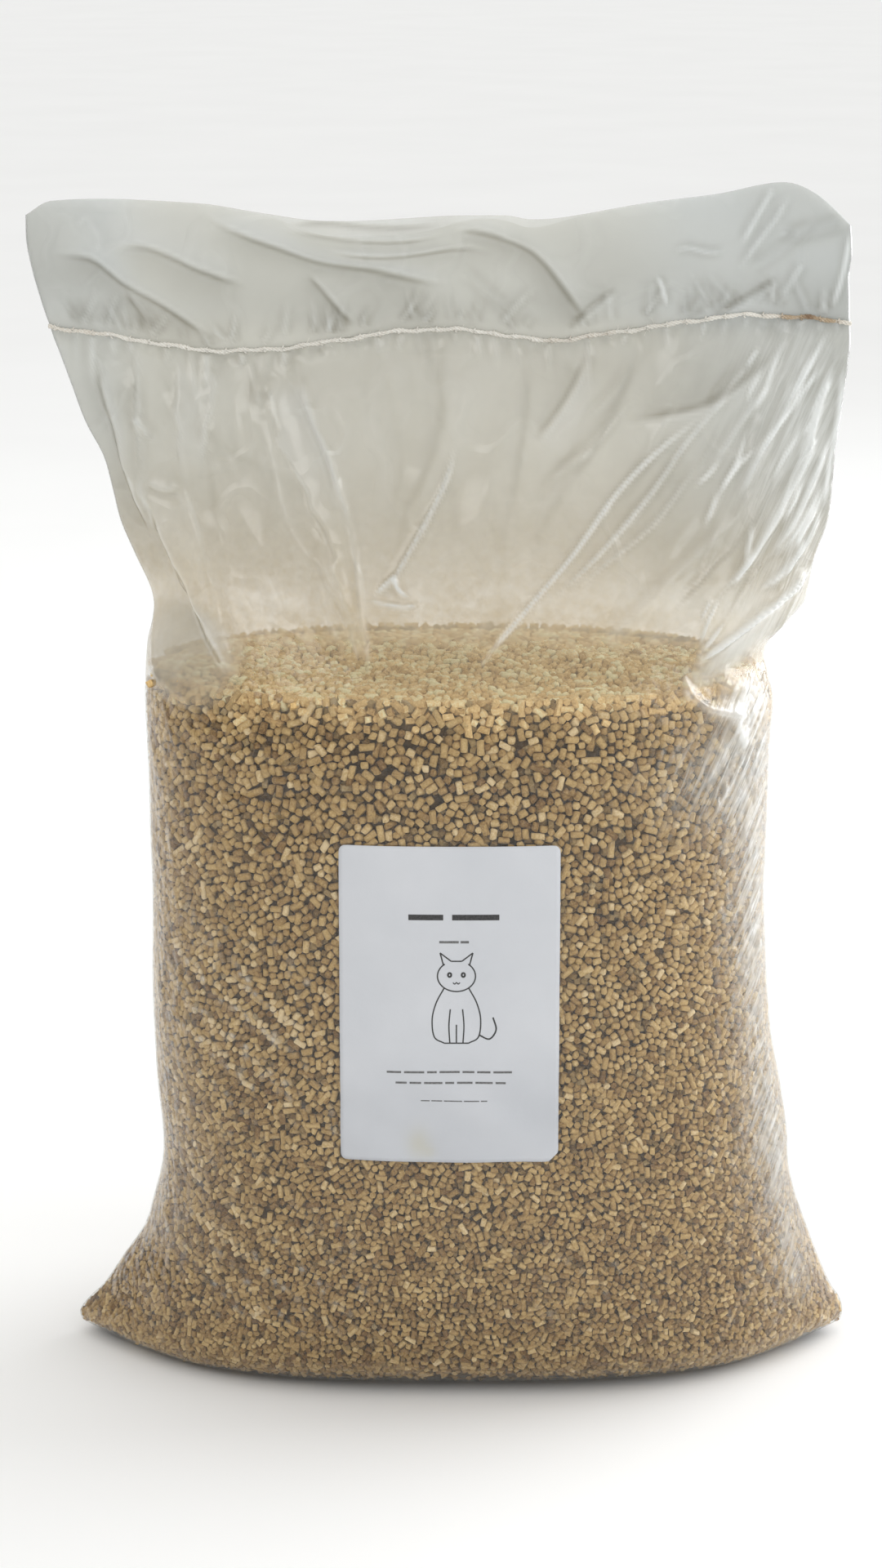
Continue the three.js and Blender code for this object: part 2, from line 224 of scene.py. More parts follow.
def add_fold(disp, glint_paint, mask, x, z, pts, w, amp, kind="ridge", glow=0.0, ends=(0.25, 0.25)):
    line = round_line(pts)
    lo, hi = line.min(0) - 5 * w, line.max(0) + 5 * w
    sel = mask & (x > lo[0]) & (x < hi[0]) & (z > lo[1]) & (z < hi[1])
    if not sel.any():
        return
    d, sg, f = along(x[sel], z[sel], line)
    env = smooth(f / max(ends[0], 1e-3)) * smooth((1 - f) / max(ends[1], 1e-3))
    if kind == "ridge":
        g = np.exp(-(d / w) ** 2)
    elif kind == "crease":
        g = np.exp(-d / (0.8 * w))
    else:  # step: the sheet is higher on the left of the line, fading away from it
        g = np.tanh(sg * d / (0.5 * w)) * np.exp(-d / (2.2 * w))
    disp[sel] += amp * env * g
    # step folds get painted shade: one side lighter, the other darker, a dark line on the crease and a painted
    # highlight beside it
    if kind == "step":
        shade[sel] += np.clip(abs(amp) / 4.2, 0.25, 0.75) * env * sg * np.sign(amp) * np.exp(-d / (2.2 * w)) * (1 - np.exp(-d / 1.2))
        shade[sel] -= 0.85 * env * np.exp(-(d / 1.35) ** 2)
        glint_paint[sel] += 0.16 * env * np.exp(-((d - 2.4) / 1.1) ** 2) * (sg * np.sign(amp) > 0)
    elif w < 3.2:
        # narrower folds get a painted dark shade line alongside
        shade[sel] -= 0.30 * env * np.exp(-((d - 1.3 * w) / (0.8 * w)) ** 2)
    if glow:
        # a painted highlight along the fold
        glint_paint[sel] += glow * env * np.exp(-(d / min(0.32 * w + 0.55, 1.7)) ** 2)


disp = np.zeros((NROW, RING))
# painted highlights on the film: glints along folds, crinkles, pleat edges and rows
glint_paint = np.zeros((NROW, RING))
shade = np.zeros((NROW, RING))
front = np.zeros((NROW, RING), bool)
front[:, 0:COLS + 1] = True
back = ~front
rng = np.random.default_rng(11)
seam_here = seam_z(X)

# flap, shared by both layers: given for the front, mirrored in sign on the back
FLAP = [
    ([(-185, 528), (-165, 526), (-150, 515), (-135, 507), (-121, 498), (-109, 489), (-105, 485)], 4.0, 2.6, "step", 0.0),
    ([(-155, 530), (-142, 532), (-129, 528), (-116, 522), (-102, 517), (-91, 514)], 4.0, 2.4, "step", 0.0),
    ([(-116, 549), (-105, 542), (-90, 536), (-75, 532), (-57, 527), (-35, 522), (-12, 516), (2, 514)], 5.0, 3.2, "step", 0.0),
    ([(-67, 522), (-59, 513), (-50, 502), (-44, 496)], 3.0, 2.0, "step", 0.05),
    ([(-80, 541), (-60, 544), (-30, 541), (0, 541)], 4.0, 1.5, "step", 0.0),
    ([(-5, 543), (13, 539), (32, 534), (41, 526), (51, 513), (60, 500), (64, 494)], 4.0, 3.0, "step", 0.0),
    ([(4, 522), (17, 511), (27, 502)], 2.5, 1.6, "crease", 0.0),
    ([(-60, 536), (-30, 530), (0, 532), (20, 528)], 5.0, 1.6, "step", 0.0),
    ([(146, 561), (137, 546), (130, 533)], 2.0, 1.6, "crease", 0.5),
    ([(153, 557), (146, 545), (136, 532), (130, 522)], 2.0, 1.6, "crease", 0.4),
    ([(165, 545), (151, 533), (134, 522)], 2.5, 1.4, "ridge", 0.0),
    ([(146, 541), (160, 539), (182, 545)], 3.0, -2.0, "ridge", 0.0),
    ([(181, 540), (178, 520), (173, 503)], 1.6, 1.4, "crease", 0.8),
    ([(93, 521), (96, 513), (98, 505)], 1.6, 1.2, "crease", 0.7),
    ([(100, 530), (106, 533), (116, 531), (124, 532)], 1.8, 1.0, "crease", 0.35),
    ([(160, 526), (155, 518), (150, 510)], 2.2, 1.2, "crease", 0.35),
    ([(76, 515), (60, 502), (52, 493)], 3.0, 1.6, "step", 0.0),
    ([(150, 520), (128, 507), (118, 500)], 2.5, 1.4, "step", 0.0),
    ([(-172, 540), (-166, 545), (-160, 536), (-163, 528)], 4.0, 2.0, "ridge", 0.15),
    ([(-150, 512), (-143, 503), (-138, 495)], 2.2, 1.6, "step", 0.0),
]
flap = Z > seam_here + 0.5
fd = np.zeros_like(disp)
for pts, w, amp, kind, glow in FLAP:
    add_fold(fd, glint_paint, flap, X, Z, pts, w, amp, kind, glow)
# short crinkles just over the sewing line
for k in range(74):
    x0 = rng.uniform(-180, 178)
    z0 = float(seam_z(x0)) + rng.uniform(2, 5)
    ln, a = rng.uniform(5, 20), rng.uniform(-0.9, 0.9)
    pts = [(x0, z0), (x0 + 0.5 * ln * a + rng.normal(0, 1), z0 + 0.5 * ln), (x0 + ln * a, z0 + ln)]
    add_fold(fd, glint_paint, flap, X, Z, pts, rng.uniform(1.2, 2.2), rng.uniform(0.3, 1.0) * rng.choice([-1, 1]),
             rng.choice(["ridge", "crease"]), rng.uniform(0.1, 0.32) * (rng.random() < 0.5), (0.15, 0.6))
disp += np.where(front, fd, -fd)

# head space, front layer
HEAD = [
    ([(-163, 489), (-162, 470), (-155, 448), (-152, 432), (-144, 410), (-138, 392)], 3.5, 3.0, "step", 0.0),
    ([(-145, 481), (-144, 456), (-143, 450), (-142, 425)], 2.6, 2.2, "crease", 0.05),
    ([(-146, 456), (-141, 451), (-138, 445)], 2.5, 2.0, "crease", 0.3),
    ([(-82, 485), (-66, 461), (-53, 434), (-46, 414), (-42, 393), (-40, 366), (-39, 352)], 4.5, 4.2, "crease", 0.14),
    ([(-74, 485), (-63, 461), (-53, 437), (-50, 414)], 3.5, 2.6, "ridge", 0.05),
    ([(-98, 470), (-83, 447), (-73, 412), (-60, 392), (-53, 369), (-49, 350)], 6.0, 4.2, "ridge", 0.10),
    ([(-62, 400), (-56, 388), (-50, 378), (-46, 366)], 3.0, 2.2, "step", 0.05),
    ([(-140, 422), (-133, 400), (-121, 379), (-111, 359), (-98, 343)], 5.0, 4.6, "step", 0.06),
    ([(-125, 419), (-113, 402), (-106, 381), (-100, 358), (-96, 338)], 6.0, 4.0, "ridge", 0.10),
    ([(-128, 470), (-124, 450), (-120, 430), (-118, 410)], 6.0, 3.0, "ridge", 0.05),
    ([(-112, 482), (-108, 462), (-110, 440)], 5.0, 2.4, "ridge", 0.03),
    ([(-142, 425), (-132, 421), (-122, 423)], 3.0, 2.0, "step", 0.0),
    ([(-93, 483), (-90, 470), (-86, 458)], 2.4, 1.8, "crease", 0.10),
    ([(-36, 381), (-27, 389), (-22, 397), (-12, 414), (-3, 431), (2, 448)], 1.5, 2.4, "crease", 0.62),
    ([(-39, 381), (-30, 380), (-20, 379), (-13, 382)], 1.2, 2.0, "crease", 0.75),
    ([(-36, 382), (-30, 388), (-26, 391), (-24, 386), (-17, 382)], 1.3, 1.8, "crease", 0.8),
    ([(-27, 392), (-24, 386), (-21, 382)], 2.2, 1.6, "ridge", 0.25),
    ([(120, 462), (99, 447), (76, 427), (54, 400), (35, 380), (17, 360), (6, 343)], 1.5, 1.7, "crease", 0.85),
    ([(128, 470), (107, 447), (91, 426), (69, 403), (52, 388), (38, 378)], 1.5, 1.5, "crease", 0.6),
    ([(114, 439), (91, 412), (69, 396), (50, 382)], 1.5, 1.2, "crease", 0.3),
    ([(130, 415), (118, 404), (98, 388), (79, 372), (66, 362)], 4.0, 2.4, "ridge", 0.22),
    ([(150, 487), (128, 470), (112, 462), (92, 458), (76, 455)], 5.0, 2.6, "step", 0.0),
    ([(167, 489), (152, 459), (139, 438), (129, 417)], 3.0, 2.8, "crease", 0.55),
    ([(175, 480), (168, 459), (164, 444), (158, 430)], 3.5, 3.0, "crease", 0.8),
    ([(170, 447), (157, 426), (141, 401), (131, 388), (118, 378)], 3.0, 3.0, "crease", 0.8),
    ([(176, 450), (168, 430), (157, 408), (147, 394)], 3.0, 2.6, "crease", 0.7),
    ([(180, 480), (178, 455), (174, 430), (172, 410)], 2.2, 2.2, "crease", 0.9),
    ([(172, 415), (164, 398), (150, 384), (138, 377)], 3.2, 2.6, "crease", 0.7),
    ([(172, 388), (153, 374), (137, 366), (121, 357), (103, 347)], 3.6, 5.0, "crease", 1.0),
    ([(103, 350), (106, 338), (115, 330), (127, 326), (138, 322)], 4.0, 4.5, "crease", 0.9),
    ([(118, 341), (128, 338), (138, 334)], 5.0, 3.0, "ridge", 0.4),
    ([(126, 326), (131, 316), (134, 306)], 4.0, 2.5, "ridge", 0.5),
    ([(135, 480), (124, 468), (118, 458)], 2.5, 1.8, "crease", 0.35),
    ([(142, 470), (128, 450), (118, 436)], 2.5, 1.8, "crease", 0.35),
    ([(40, 482), (30, 455), (20, 430), (14, 400)], 12.0, 3.2, "ridge", 0.0),
    ([(5, 480), (-4, 450), (-18, 420)], 9.0, 2.6, "ridge", 0.0),
    ([(62, 484), (52, 466), (36, 446)], 5.0, 2.6, "step", 0.0),
]
head = (Z <= seam_here + 0.5) & (Z > 296)
hd = np.zeros_like(disp)
for pts, w, amp, kind, glow in HEAD:
    add_fold(hd, glint_paint, head & front, X, Z, pts, w, amp, kind, glow)


def scatter(count, xr, zr, ang, spread, length, w, amp, glow, mask, both=False, glow_share=0.5, kinds=("ridge", "crease")):
    for _ in range(count):
        x0, z0 = rng.uniform(*xr), rng.uniform(*zr)
        a = math.radians(ang + rng.normal(0, spread))
        ln = rng.uniform(*length)
        c, s = math.cos(a), math.sin(a)
        bow = rng.normal(0, 0.05) * ln
        pts = [(x0 - c * ln / 2, z0 - s * ln / 2), (x0 - s * bow, z0 + c * bow), (x0 + c * ln / 2, z0 + s * ln / 2)]
        add_fold(hd, glint_paint, mask, X, Z, pts, rng.uniform(*w), rng.uniform(*amp) * (rng.choice([-1, 1]) if both else 1),
                 kinds[int(rng.integers(len(kinds)))], glow * (rng.random() < glow_share), (0.4, 0.4))


# small wrinkles leaning down-left on the right of the head space
scatter(44, (112, 178), (352, 488), 58, 7, (12, 46), (1.2, 2.0), (0.6, 1.5), 0.75, head & front)
scatter(16, (40, 130), (365, 470), 50, 6, (20, 60), (1.6, 5.0), (0.5, 1.5), 0.12, head & front, glow_share=0.3)
scatter(14, (-150, -60), (350, 470), -72, 8, (20, 60), (2.5, 6.0), (0.6, 1.6), 0.06, head & front, glow_share=0.3)
# pleats: doubled film between two lines, a little proud and paler, with a painted highlight along both edges
PLEATS = [
    ([(-86, 476), (-78, 447), (-56, 407), (-44, 367), (-42, 350)], [(-76, 488), (-71, 478), (-53, 438), (-40, 388), (-37, 350)], 0.16, 0.55),
    ([(-146, 430), (-141, 417), (-129, 385), (-104, 355), (-97, 344)], [(-122, 428), (-119, 419), (-111, 398), (-94, 356), (-90, 344)], 0.14, 0.50),
    ([(-166, 490), (-162, 480), (-159, 452), (-146, 422), (-141, 404)], [(-146, 488), (-144, 480), (-143, 450), (-142, 422), (-138, 404)], 0.12, -0.35),
    ([(-128, 484), (-126, 470), (-124, 440), (-121, 428)], [(-106, 484), (-108, 470), (-112, 446), (-116, 428)], 0.08, 0.35),
    ([(96, 372), (126, 396), (150, 424)], [(104, 366), (136, 390), (158, 418)], 0.10, 0.3),
]
pleat = np.zeros_like(disp)
for left_, right_, op_, tone_amt in PLEATS:
    l_, r_ = np.array(left_, float), np.array(right_, float)
    l_, r_ = l_[np.argsort(l_[:, 1])], r_[np.argsort(r_[:, 1])]
    wob = 0.8 * np.sin(Z / 4.3 + left_[0][0]) + 0.5 * np.sin(Z / 2.1)
    xa_, xb_ = np.interp(Z, l_[:, 1], l_[:, 0]) + wob, np.interp(Z, r_[:, 1], r_[:, 0]) - 0.6 * wob
    zin = smooth((Z - l_[0, 1]) / 12) * smooth((l_[-1, 1] - Z) / 12)
    inside = smooth((X - xa_) / 2.4 + 0.5) * smooth((xb_ - X) / 2.4 + 0.5) * zin * front
    pleat += op_ * inside
    shade += tone_amt * inside
    hd += 1.3 * inside
    for xe_ in (xa_, xb_):
        glint_paint += 0.20 * np.exp(-((X - xe_) / 1.1) ** 2) * zin * front * (0.5 + 0.5 * np.sin(Z / 5.7 + left_[0][0])) * (xb_ > xa_)
# gathers that leave each stitch, both layers
for m in (front, back):
    for k in range(42):
        x0 = -182 + 8.75 * k + rng.normal(0, 0.7)
        z0 = float(seam_z(x0)) - 1.0
        ln = float(np.clip(rng.exponential(9) + 5, 5, 34))
        a = rng.normal(0, 0.14) - 0.10 * math.copysign(1, x0) * (abs(x0) / 180)
        pts = [(x0, z0), (x0 + a * ln * 0.5, z0 - ln * 0.5), (x0 + a * ln, z0 - ln)]
        add_fold(hd, glint_paint, head & m, X, Z, pts, rng.uniform(1.6, 2.8), rng.uniform(0.7, 1.8) * rng.choice([1, 1, -1]),
                 "ridge", rng.uniform(0.1, 0.4) * (rng.random() < 0.5), (0.08, 0.7))
# back layer: long folds from the seam to the shoulders, of its own
hb = head & back
for k in range(15):
    x0 = rng.uniform(-165, 165)
    tgt = x0 * 0.62 + rng.normal(0, 18)
    zt = rng.uniform(345, 400)
    zs = float(seam_z(x0)) - 3
    pts = [(x0, zs), (x0 * 0.86 + rng.normal(0, 4), zs - 0.35 * (zs - zt)), (tgt + rng.normal(0, 3), zs - 0.75 * (zs - zt)), (tgt * 0.97, zt)]
    add_fold(hd, glint_paint, hb, X, Z, pts, rng.uniform(2.4, 5), rng.uniform(1.0, 2.4), str(rng.choice(["ridge", "crease", "step"])),
             0.25 * (rng.random() < 0.4), (0.2, 0.4))
scatter(34, (-170, 170), (345, 480), 60, 12, (14, 60), (1.5, 3.5), (0.4, 1.2), 0.3, hb & (X < 0), glow_share=0.4)
scatter(34, (-170, 170), (345, 480), -60, 12, (14, 60), (1.5, 3.5), (0.4, 1.2), 0.3, hb & (X > 0), glow_share=0.4)
disp += hd

edge_x = np.minimum(np.arange(RING) % COLS, COLS - np.arange(RING) % COLS)  # columns from the nearest side edge
# film over the pellets: small tight ridges only, always outwards
body = (Z <= 330) & (SHARE_OF[:, None] >= 1)
bd = np.zeros_like(disp)
hd = bd
scatter(30, (-138, -50), (60, 235), -42, 4, (16, 60), (1.1, 1.9), (0.3, 0.7), 0.34, body & front, glow_share=0.8, kinds=("ridge",))
scatter(14, (-60, 110), (25, 120), -38, 12, (16, 46), (1.0, 1.8), (0.2, 0.5), 0.12, body & front, glow_share=0.5, kinds=("ridge",))
scatter(150, (118, 190), (15, 330), 64, 6, (10, 42), (0.9, 1.7), (0.35, 1.0), 0.22, body & front & (X > 112 + 0.12 * np.maximum(120 - Z, 0)), glow_share=0.5, kinds=("ridge",))
scatter(26, (90, 135), (150, 325), 60, 9, (12, 36), (1.2, 2.0), (0.3, 0.7), 0.16, body & front, glow_share=0.6, kinds=("ridge",))
scatter(40, (-180, -125), (8, 75), 40, 14, (12, 40), (1.0, 2.0), (0.3, 0.9), 0.14, body & front, glow_share=0.5, kinds=("ridge",))
scatter(22, (-145, -128), (60, 330), -80, 12, (14, 46), (1.0, 2.0), (0.3, 0.8), 0.10, body & front, glow_share=0.5, kinds=("ridge",))
scatter(90, (-175, 180), (15, 325), 62, 14, (14, 60), (1.0, 2.2), (0.3, 0.9), 0.24, body & back & (X < 20), glow_share=0.5, kinds=("ridge",))
scatter(90, (-175, 180), (15, 325), -62, 14, (14, 60), (1.0, 2.2), (0.3, 0.9), 0.24, body & back & (X >= 20), glow_share=0.5, kinds=("ridge",))
side_fade = smooth((edge_x[None, :] - 4) / 20.0)
bd *= side_fade
glint_paint *= np.where(body, 0.15 + 0.85 * side_fade, 1)
disp += bd

# tight rows of the film across the lower left, and two at the lower right, with painted glints along them
ROWS = [
    [(-133, 217), (-112, 201), (-90, 188), (-69, 171)],
    [(-116, 212), (-92, 201), (-64, 186)],
    [(-131, 193), (-110, 181), (-92, 166), (-73, 154)],
    [(-126, 178), (-104, 166), (-88, 150)],
    [(-99, 214), (-82, 198), (-65, 171)],
    [(-127, 103), (-112, 95), (-92, 83)],
    [(-137, 66), (-112, 56), (-95, 44), (-81, 34)],
    [(-128, 84), (-104, 74), (-84, 60)],
    [(20, 52), (48, 66), (76, 88)], [(34, 44), (62, 58), (88, 76)],
]
for k_, row_ in enumerate(ROWS):
    add_fold(disp, glint_paint, body & front, X, Z, row_, 1.3, 0.5, "ridge", 0.30 if k_ < 8 else 0.12, (0.2, 0.2))

# quiet under the label and at the weld, nothing inwards over the pellets
label_zone = front & (np.abs(X - LABEL_X) < 56) & (np.abs(Z - LABEL_Z) < 80)
disp[label_zone] = np.minimum(disp[label_zone], 0.1)
disp[body] = np.maximum(disp[body], 0)
hold = smooth(edge_x / 10.0)[None, :]
disp *= np.where(Z > 330, hold, 1)
N2 = NORM.copy()
sheet = smooth((Z - 440) / 45)[..., None]
side_dir = np.zeros_like(N2)
side_dir[..., 1] = np.where(front, -1.0, 1.0)
N2 = N2 * (1 - sheet) + side_dir * sheet
N2 /= np.maximum(np.linalg.norm(N2, axis=2, keepdims=True), 1e-6)
film = base + N2 * disp[..., None]
# keep the two layers apart near the sewing line
near = np.abs(Z - seam_here) < 60
mirror = np.arange(RING)
mirror[1:COLS] = RING - np.arange(1, COLS)
mirror[COLS + 1:] = RING - np.arange(COLS + 1, RING)
gap = film[:, mirror, 1] - film[..., 1]
inner = front & (edge_x[None, :] > 0) & (H_OF[:, None] > 330)
short = np.where(inner, np.clip(0.7 - gap, 0, None), 0)
film[..., 1] -= short / 2
film[..., 1] += np.where(back, short[:, mirror] / 2, 0)
# the front edge of the mouth hangs a little lower than the back one at two places
dip = 6.5 * np.exp(-(((X + 35) / 38) ** 2) ** 2) + 3.0 * np.exp(-((X - 35) / 14) ** 2)
film[..., 2] -= np.where(front, dip * smooth((H_OF[:, None] - 522) / 26), 0) * hold

# share of the front layer, crossing over gently at the two side edges
fw = np.where(front, 0.5 + 0.5 * smooth(edge_x[None, :] / 16.0), 0.5 - 0.5 * smooth(edge_x[None, :] / 16.0))
# haze: how far the film stands off the pellets, as opacity; dust: how much of it is pellet dust
contact = 338 + 3.0 * np.sin(X / 19 + 0.7) + 2.0 * np.sin(X / 8.3 + 2)
hz = 0.035 + 0.17 * smooth((Z - contact + 20) / 34) + 0.12 * smooth((Z - 350) / 20) + 0.34 * smooth((Z - 353) / 42)
lens = np.exp(-(((X + 122) / 26) ** 2 + ((Z - 351) / 23) ** 2) ** 3.5) * fw
hz += 0.42 * lens
hz += (1 - fw) * 0.52 * np.exp(-(np.maximum(Z - 338, 0) / 24) ** 1.4) * smooth((Z - 326) / 14) * (0.80 + 0.16 * np.sin(X / 9.5 + 1.1 * np.sin(Z / 7.0)) + 0.14 * np.sin(X / 4.1 + 2.0))
hz += pleat
# painted light: a band of extra haze across the front film, about 35 mm over the fill level at the middle and falling
# to it at the sides, paling the dark shade line at the rear edge of the fill
veil = front * np.exp(-((Z - (338 + 0.42 * 84 * np.clip(1 - np.abs((X - 2) / 146) ** 2.5, 0, 1) ** 0.52)) / 7.0) ** 2) * smooth((146 - np.abs(X - 2)) / 20)
hz += 0.20 * veil
# crumple at the right shoulder: thicker haze, and a painted highlight
cu_, cv_ = (X - 128) * 0.88 + (Z - 352) * 0.47, -(X - 128) * 0.47 + (Z - 352) * 0.88
crumple_and_glint = fw * np.exp(-((cu_ / 27) ** 2 + (cv_ / 8) ** 2) ** 1.3)
crumple_and_glint += fw * 0.8 * np.exp(-(((X - 128) / 13) ** 2 + ((Z - 330) / 8) ** 2) ** 1.3)
hz += 0.34 * crumple_and_glint
glint_paint += 0.26 * crumple_and_glint
# painted sheen: extra haze along the right side edge only, where the window light falls
right_rim_sheen = smooth((38 - edge_x[None, :]) / 38) * (Z > 60)
hz += right_rim_sheen * np.where(X > 0, 0.14, 0.0)
# the sheet is thicker to look through where it stands steeply off its own plane
slope = np.abs(disp - np.roll(disp, 1, 1)) / 1.3 + np.abs(disp - np.roll(disp, 1, 0)) / 1.33
slope = (slope + np.roll(slope, 1, 1) + np.roll(slope, -1, 1)) / 3
hz += 0.10 * np.clip(slope, 0, 1.5) * smooth((Z - 340) / 20)
hz = np.clip(hz, 0, 0.92)
dust = np.clip(0.97 * np.exp(-(np.maximum(Z - 354, 0) / 46) ** 1.7), 0, 1) * smooth((Z - 310) / 12)
dust *= 1 - 0.55 * smooth((X - 50) / 70) * smooth((Z - 348) / 12)
dust = dust * (1 - 0.75 * lens) * (1 - np.clip(crumple_and_glint, 0, 1))
shade = np.clip(shade, -1.6, 1.6)
shade *= smooth((Z - 335) / 15)
# broad cool and warm areas of the free mouth; painted shade makes the film darker low down in the head space and on its
# right
tone_and_shade = 0.30 * np.sin(X / 41 + Z / 19 + 1.0) * smooth((Z - 500) / 25) - 0.24 * smooth((Z - 488) / 12) + 0.34 * smooth((Z - 505) / 15) * np.exp(-((X - 5) / 60) ** 2) + 0.15 * smooth((-120 - X) / 30) * smooth((Z - 420) / 40)
tone_and_shade += -0.95 * smooth((450 - Z) / 80) * smooth((Z - 356) / 30) - 0.38 * smooth((X - 40) / 70) * smooth((Z - 350) / 40) * smooth((505 - Z) / 30)
shade = np.clip(shade + tone_and_shade, -1.6, 1.4)
cool = np.clip((0.30 + 0.35 * smooth((X - 20) / 80)) * smooth((Z - 490) / 16) + 0.65 * smooth((X - 70) / 70) * smooth((Z - 380) / 50) + 0.5 * smooth((-135 - X) / 25) * smooth((Z - 400) / 50), 0, 1)
# where the film is drawn into fine parallel wrinkles over the pellets, which also carries a painted glare along the
# right edge
xe_r = X - np.interp(Z, [0, 60, 120, 200, 330], [190, 174, 160, 150, 150])
wrinkle_glare = np.exp(-(np.maximum(-xe_r - 5, 0) / 21) ** 2) * smooth((Z - 12) / 30) * smooth((352 - Z) / 20)
wrinkle_glare *= smooth(fw * 1.25) * (0.92 + 0.08 * np.sin(Z / 17.0 + 0.8)) * (0.25 + 0.75 * smooth((edge_x[None, :] - 2) / 26.0))
wrinkle_glare += 0.75 * np.exp(-(((X - 112) / 30) ** 2 + ((Z - 300) / 34) ** 2)) * front
wrinkle_glare = np.where(front, wrinkle_glare, np.maximum(wrinkle_glare * fw * 2, 0.10 * smooth((Z - 20) / 40) * smooth((345 - Z) / 20) * smooth(edge_x[None, :] / 30)))
wrinkle_glare += front * 0.6 * np.exp(-((X - 160) / 22) ** 2) * smooth((Z - 345) / 20) * smooth((505 - Z) / 30)
wrinkle_glare = np.clip(wrinkle_glare, 0, 1)
# rows of painted glints on the film over the pellets at the lower left and lower middle, with their ridge bump
bead_glint_rows = front * (np.exp(-(((X + 98) / 34) ** 2 + ((Z - 182) / 58) ** 2) ** 1.5) + 0.8 * np.exp(-(((X + 84) / 46) ** 2 + ((Z - 62) / 34) ** 2) ** 1.5)
                 + 0.35 * np.exp(-(((X - 60) / 60) ** 2 + ((Z - 60) / 30) ** 2)))
bead_glint_rows = np.clip(np.where(front, bead_glint_rows, 0), 0, 1)
glint_paint = np.clip(glint_paint, 0, 1)


# ------------------------------------------------------------------------------------------------
# mesh helpers
# ------------------------------------------------------------------------------------------------


def make_mesh(name, verts_mm, faces, shade_smooth=True, attrs=None, sharp=None):
    """faces: list of integer arrays, each (n, k) with k corners."""
    me = bpy.data.meshes.new(name)
    v = np.asarray(verts_mm, np.float64) * 0.001
    me.vertices.add(len(v))
    me.vertices.foreach_set("co", v.astype(np.float32).ravel())
    loops = np.concatenate([f.ravel() for f in faces])
    sizes = np.concatenate([np.full(len(f), f.shape[1]) for f in faces])
    me.loops.add(len(loops))
    me.loops.foreach_set("vertex_index", loops.astype(np.int32))
    me.polygons.add(len(sizes))
    starts = np.concatenate([[0], np.cumsum(sizes)[:-1]])
    me.polygons.foreach_set("loop_start", starts.astype(np.int32))
    me.polygons.foreach_set("loop_total", sizes.astype(np.int32))
    me.polygons.foreach_set("use_smooth", np.full(len(sizes), shade_smooth))
    me.update(calc_edges=True)
    me.validate()
    if sharp:
        me.set_sharp_from_angle(angle=math.radians(sharp))
    for key, val in (attrs or {}).items():
        at = me.attributes.new(key, "FLOAT", "POINT")
        at.data.foreach_set("value", np.asarray(val, np.float32).ravel())
    ob = bpy.data.objects.new(name, me)
    scene.collection.objects.link(ob)
    return ob


def put(ob, node, mat):
    ob.data.materials.append(mat)
    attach(ob, "root")
    if node:
        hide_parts(node)
    return ob


def new_mat(name):
    m = bpy.data.materials.new(name)
    m.use_nodes = True
    nt = m.node_tree
    nt.nodes.clear()
    out = nt.nodes.new("ShaderNodeOutputMaterial")
    return m, nt, out


def node(nt, kind, **props):
    n = nt.nodes.new(kind)
    for k, v in props.items():
        if k.startswith("in_"):
            n.inputs[k[3:].replace("_", " ")].default_value = v
        else:
            setattr(n, k, v)
    return n


def math_node(nt, op, a, b=None, clamp=False):
    n = nt.nodes.new("ShaderNodeMath")
    n.operation = op
    n.use_clamp = clamp
    for k, v in enumerate((a, b)):
        if v is None:
            continue
        if isinstance(v, (int, float)):
            n.inputs[k].default_value = v
        else:
            nt.links.new(v, n.inputs[k])
    return n.outputs[0]


def ramp(nt, fac, stops):
    n = nt.nodes.new("ShaderNodeValToRGB")
    els = n.color_ramp.elements
    els[0].position, els[0].color = stops[0][0], (*stops[0][1], 1)
    els[1].position, els[1].color = stops[-1][0], (*stops[-1][1], 1)
    for pos, col in stops[1:-1]:
        e = els.new(pos)
        e.color = (*col, 1)
    nt.links.new(fac, n.inputs[0])
    return n.outputs[0]


# ------------------------------------------------------------------------------------------------
# materials
# ------------------------------------------------------------------------------------------------


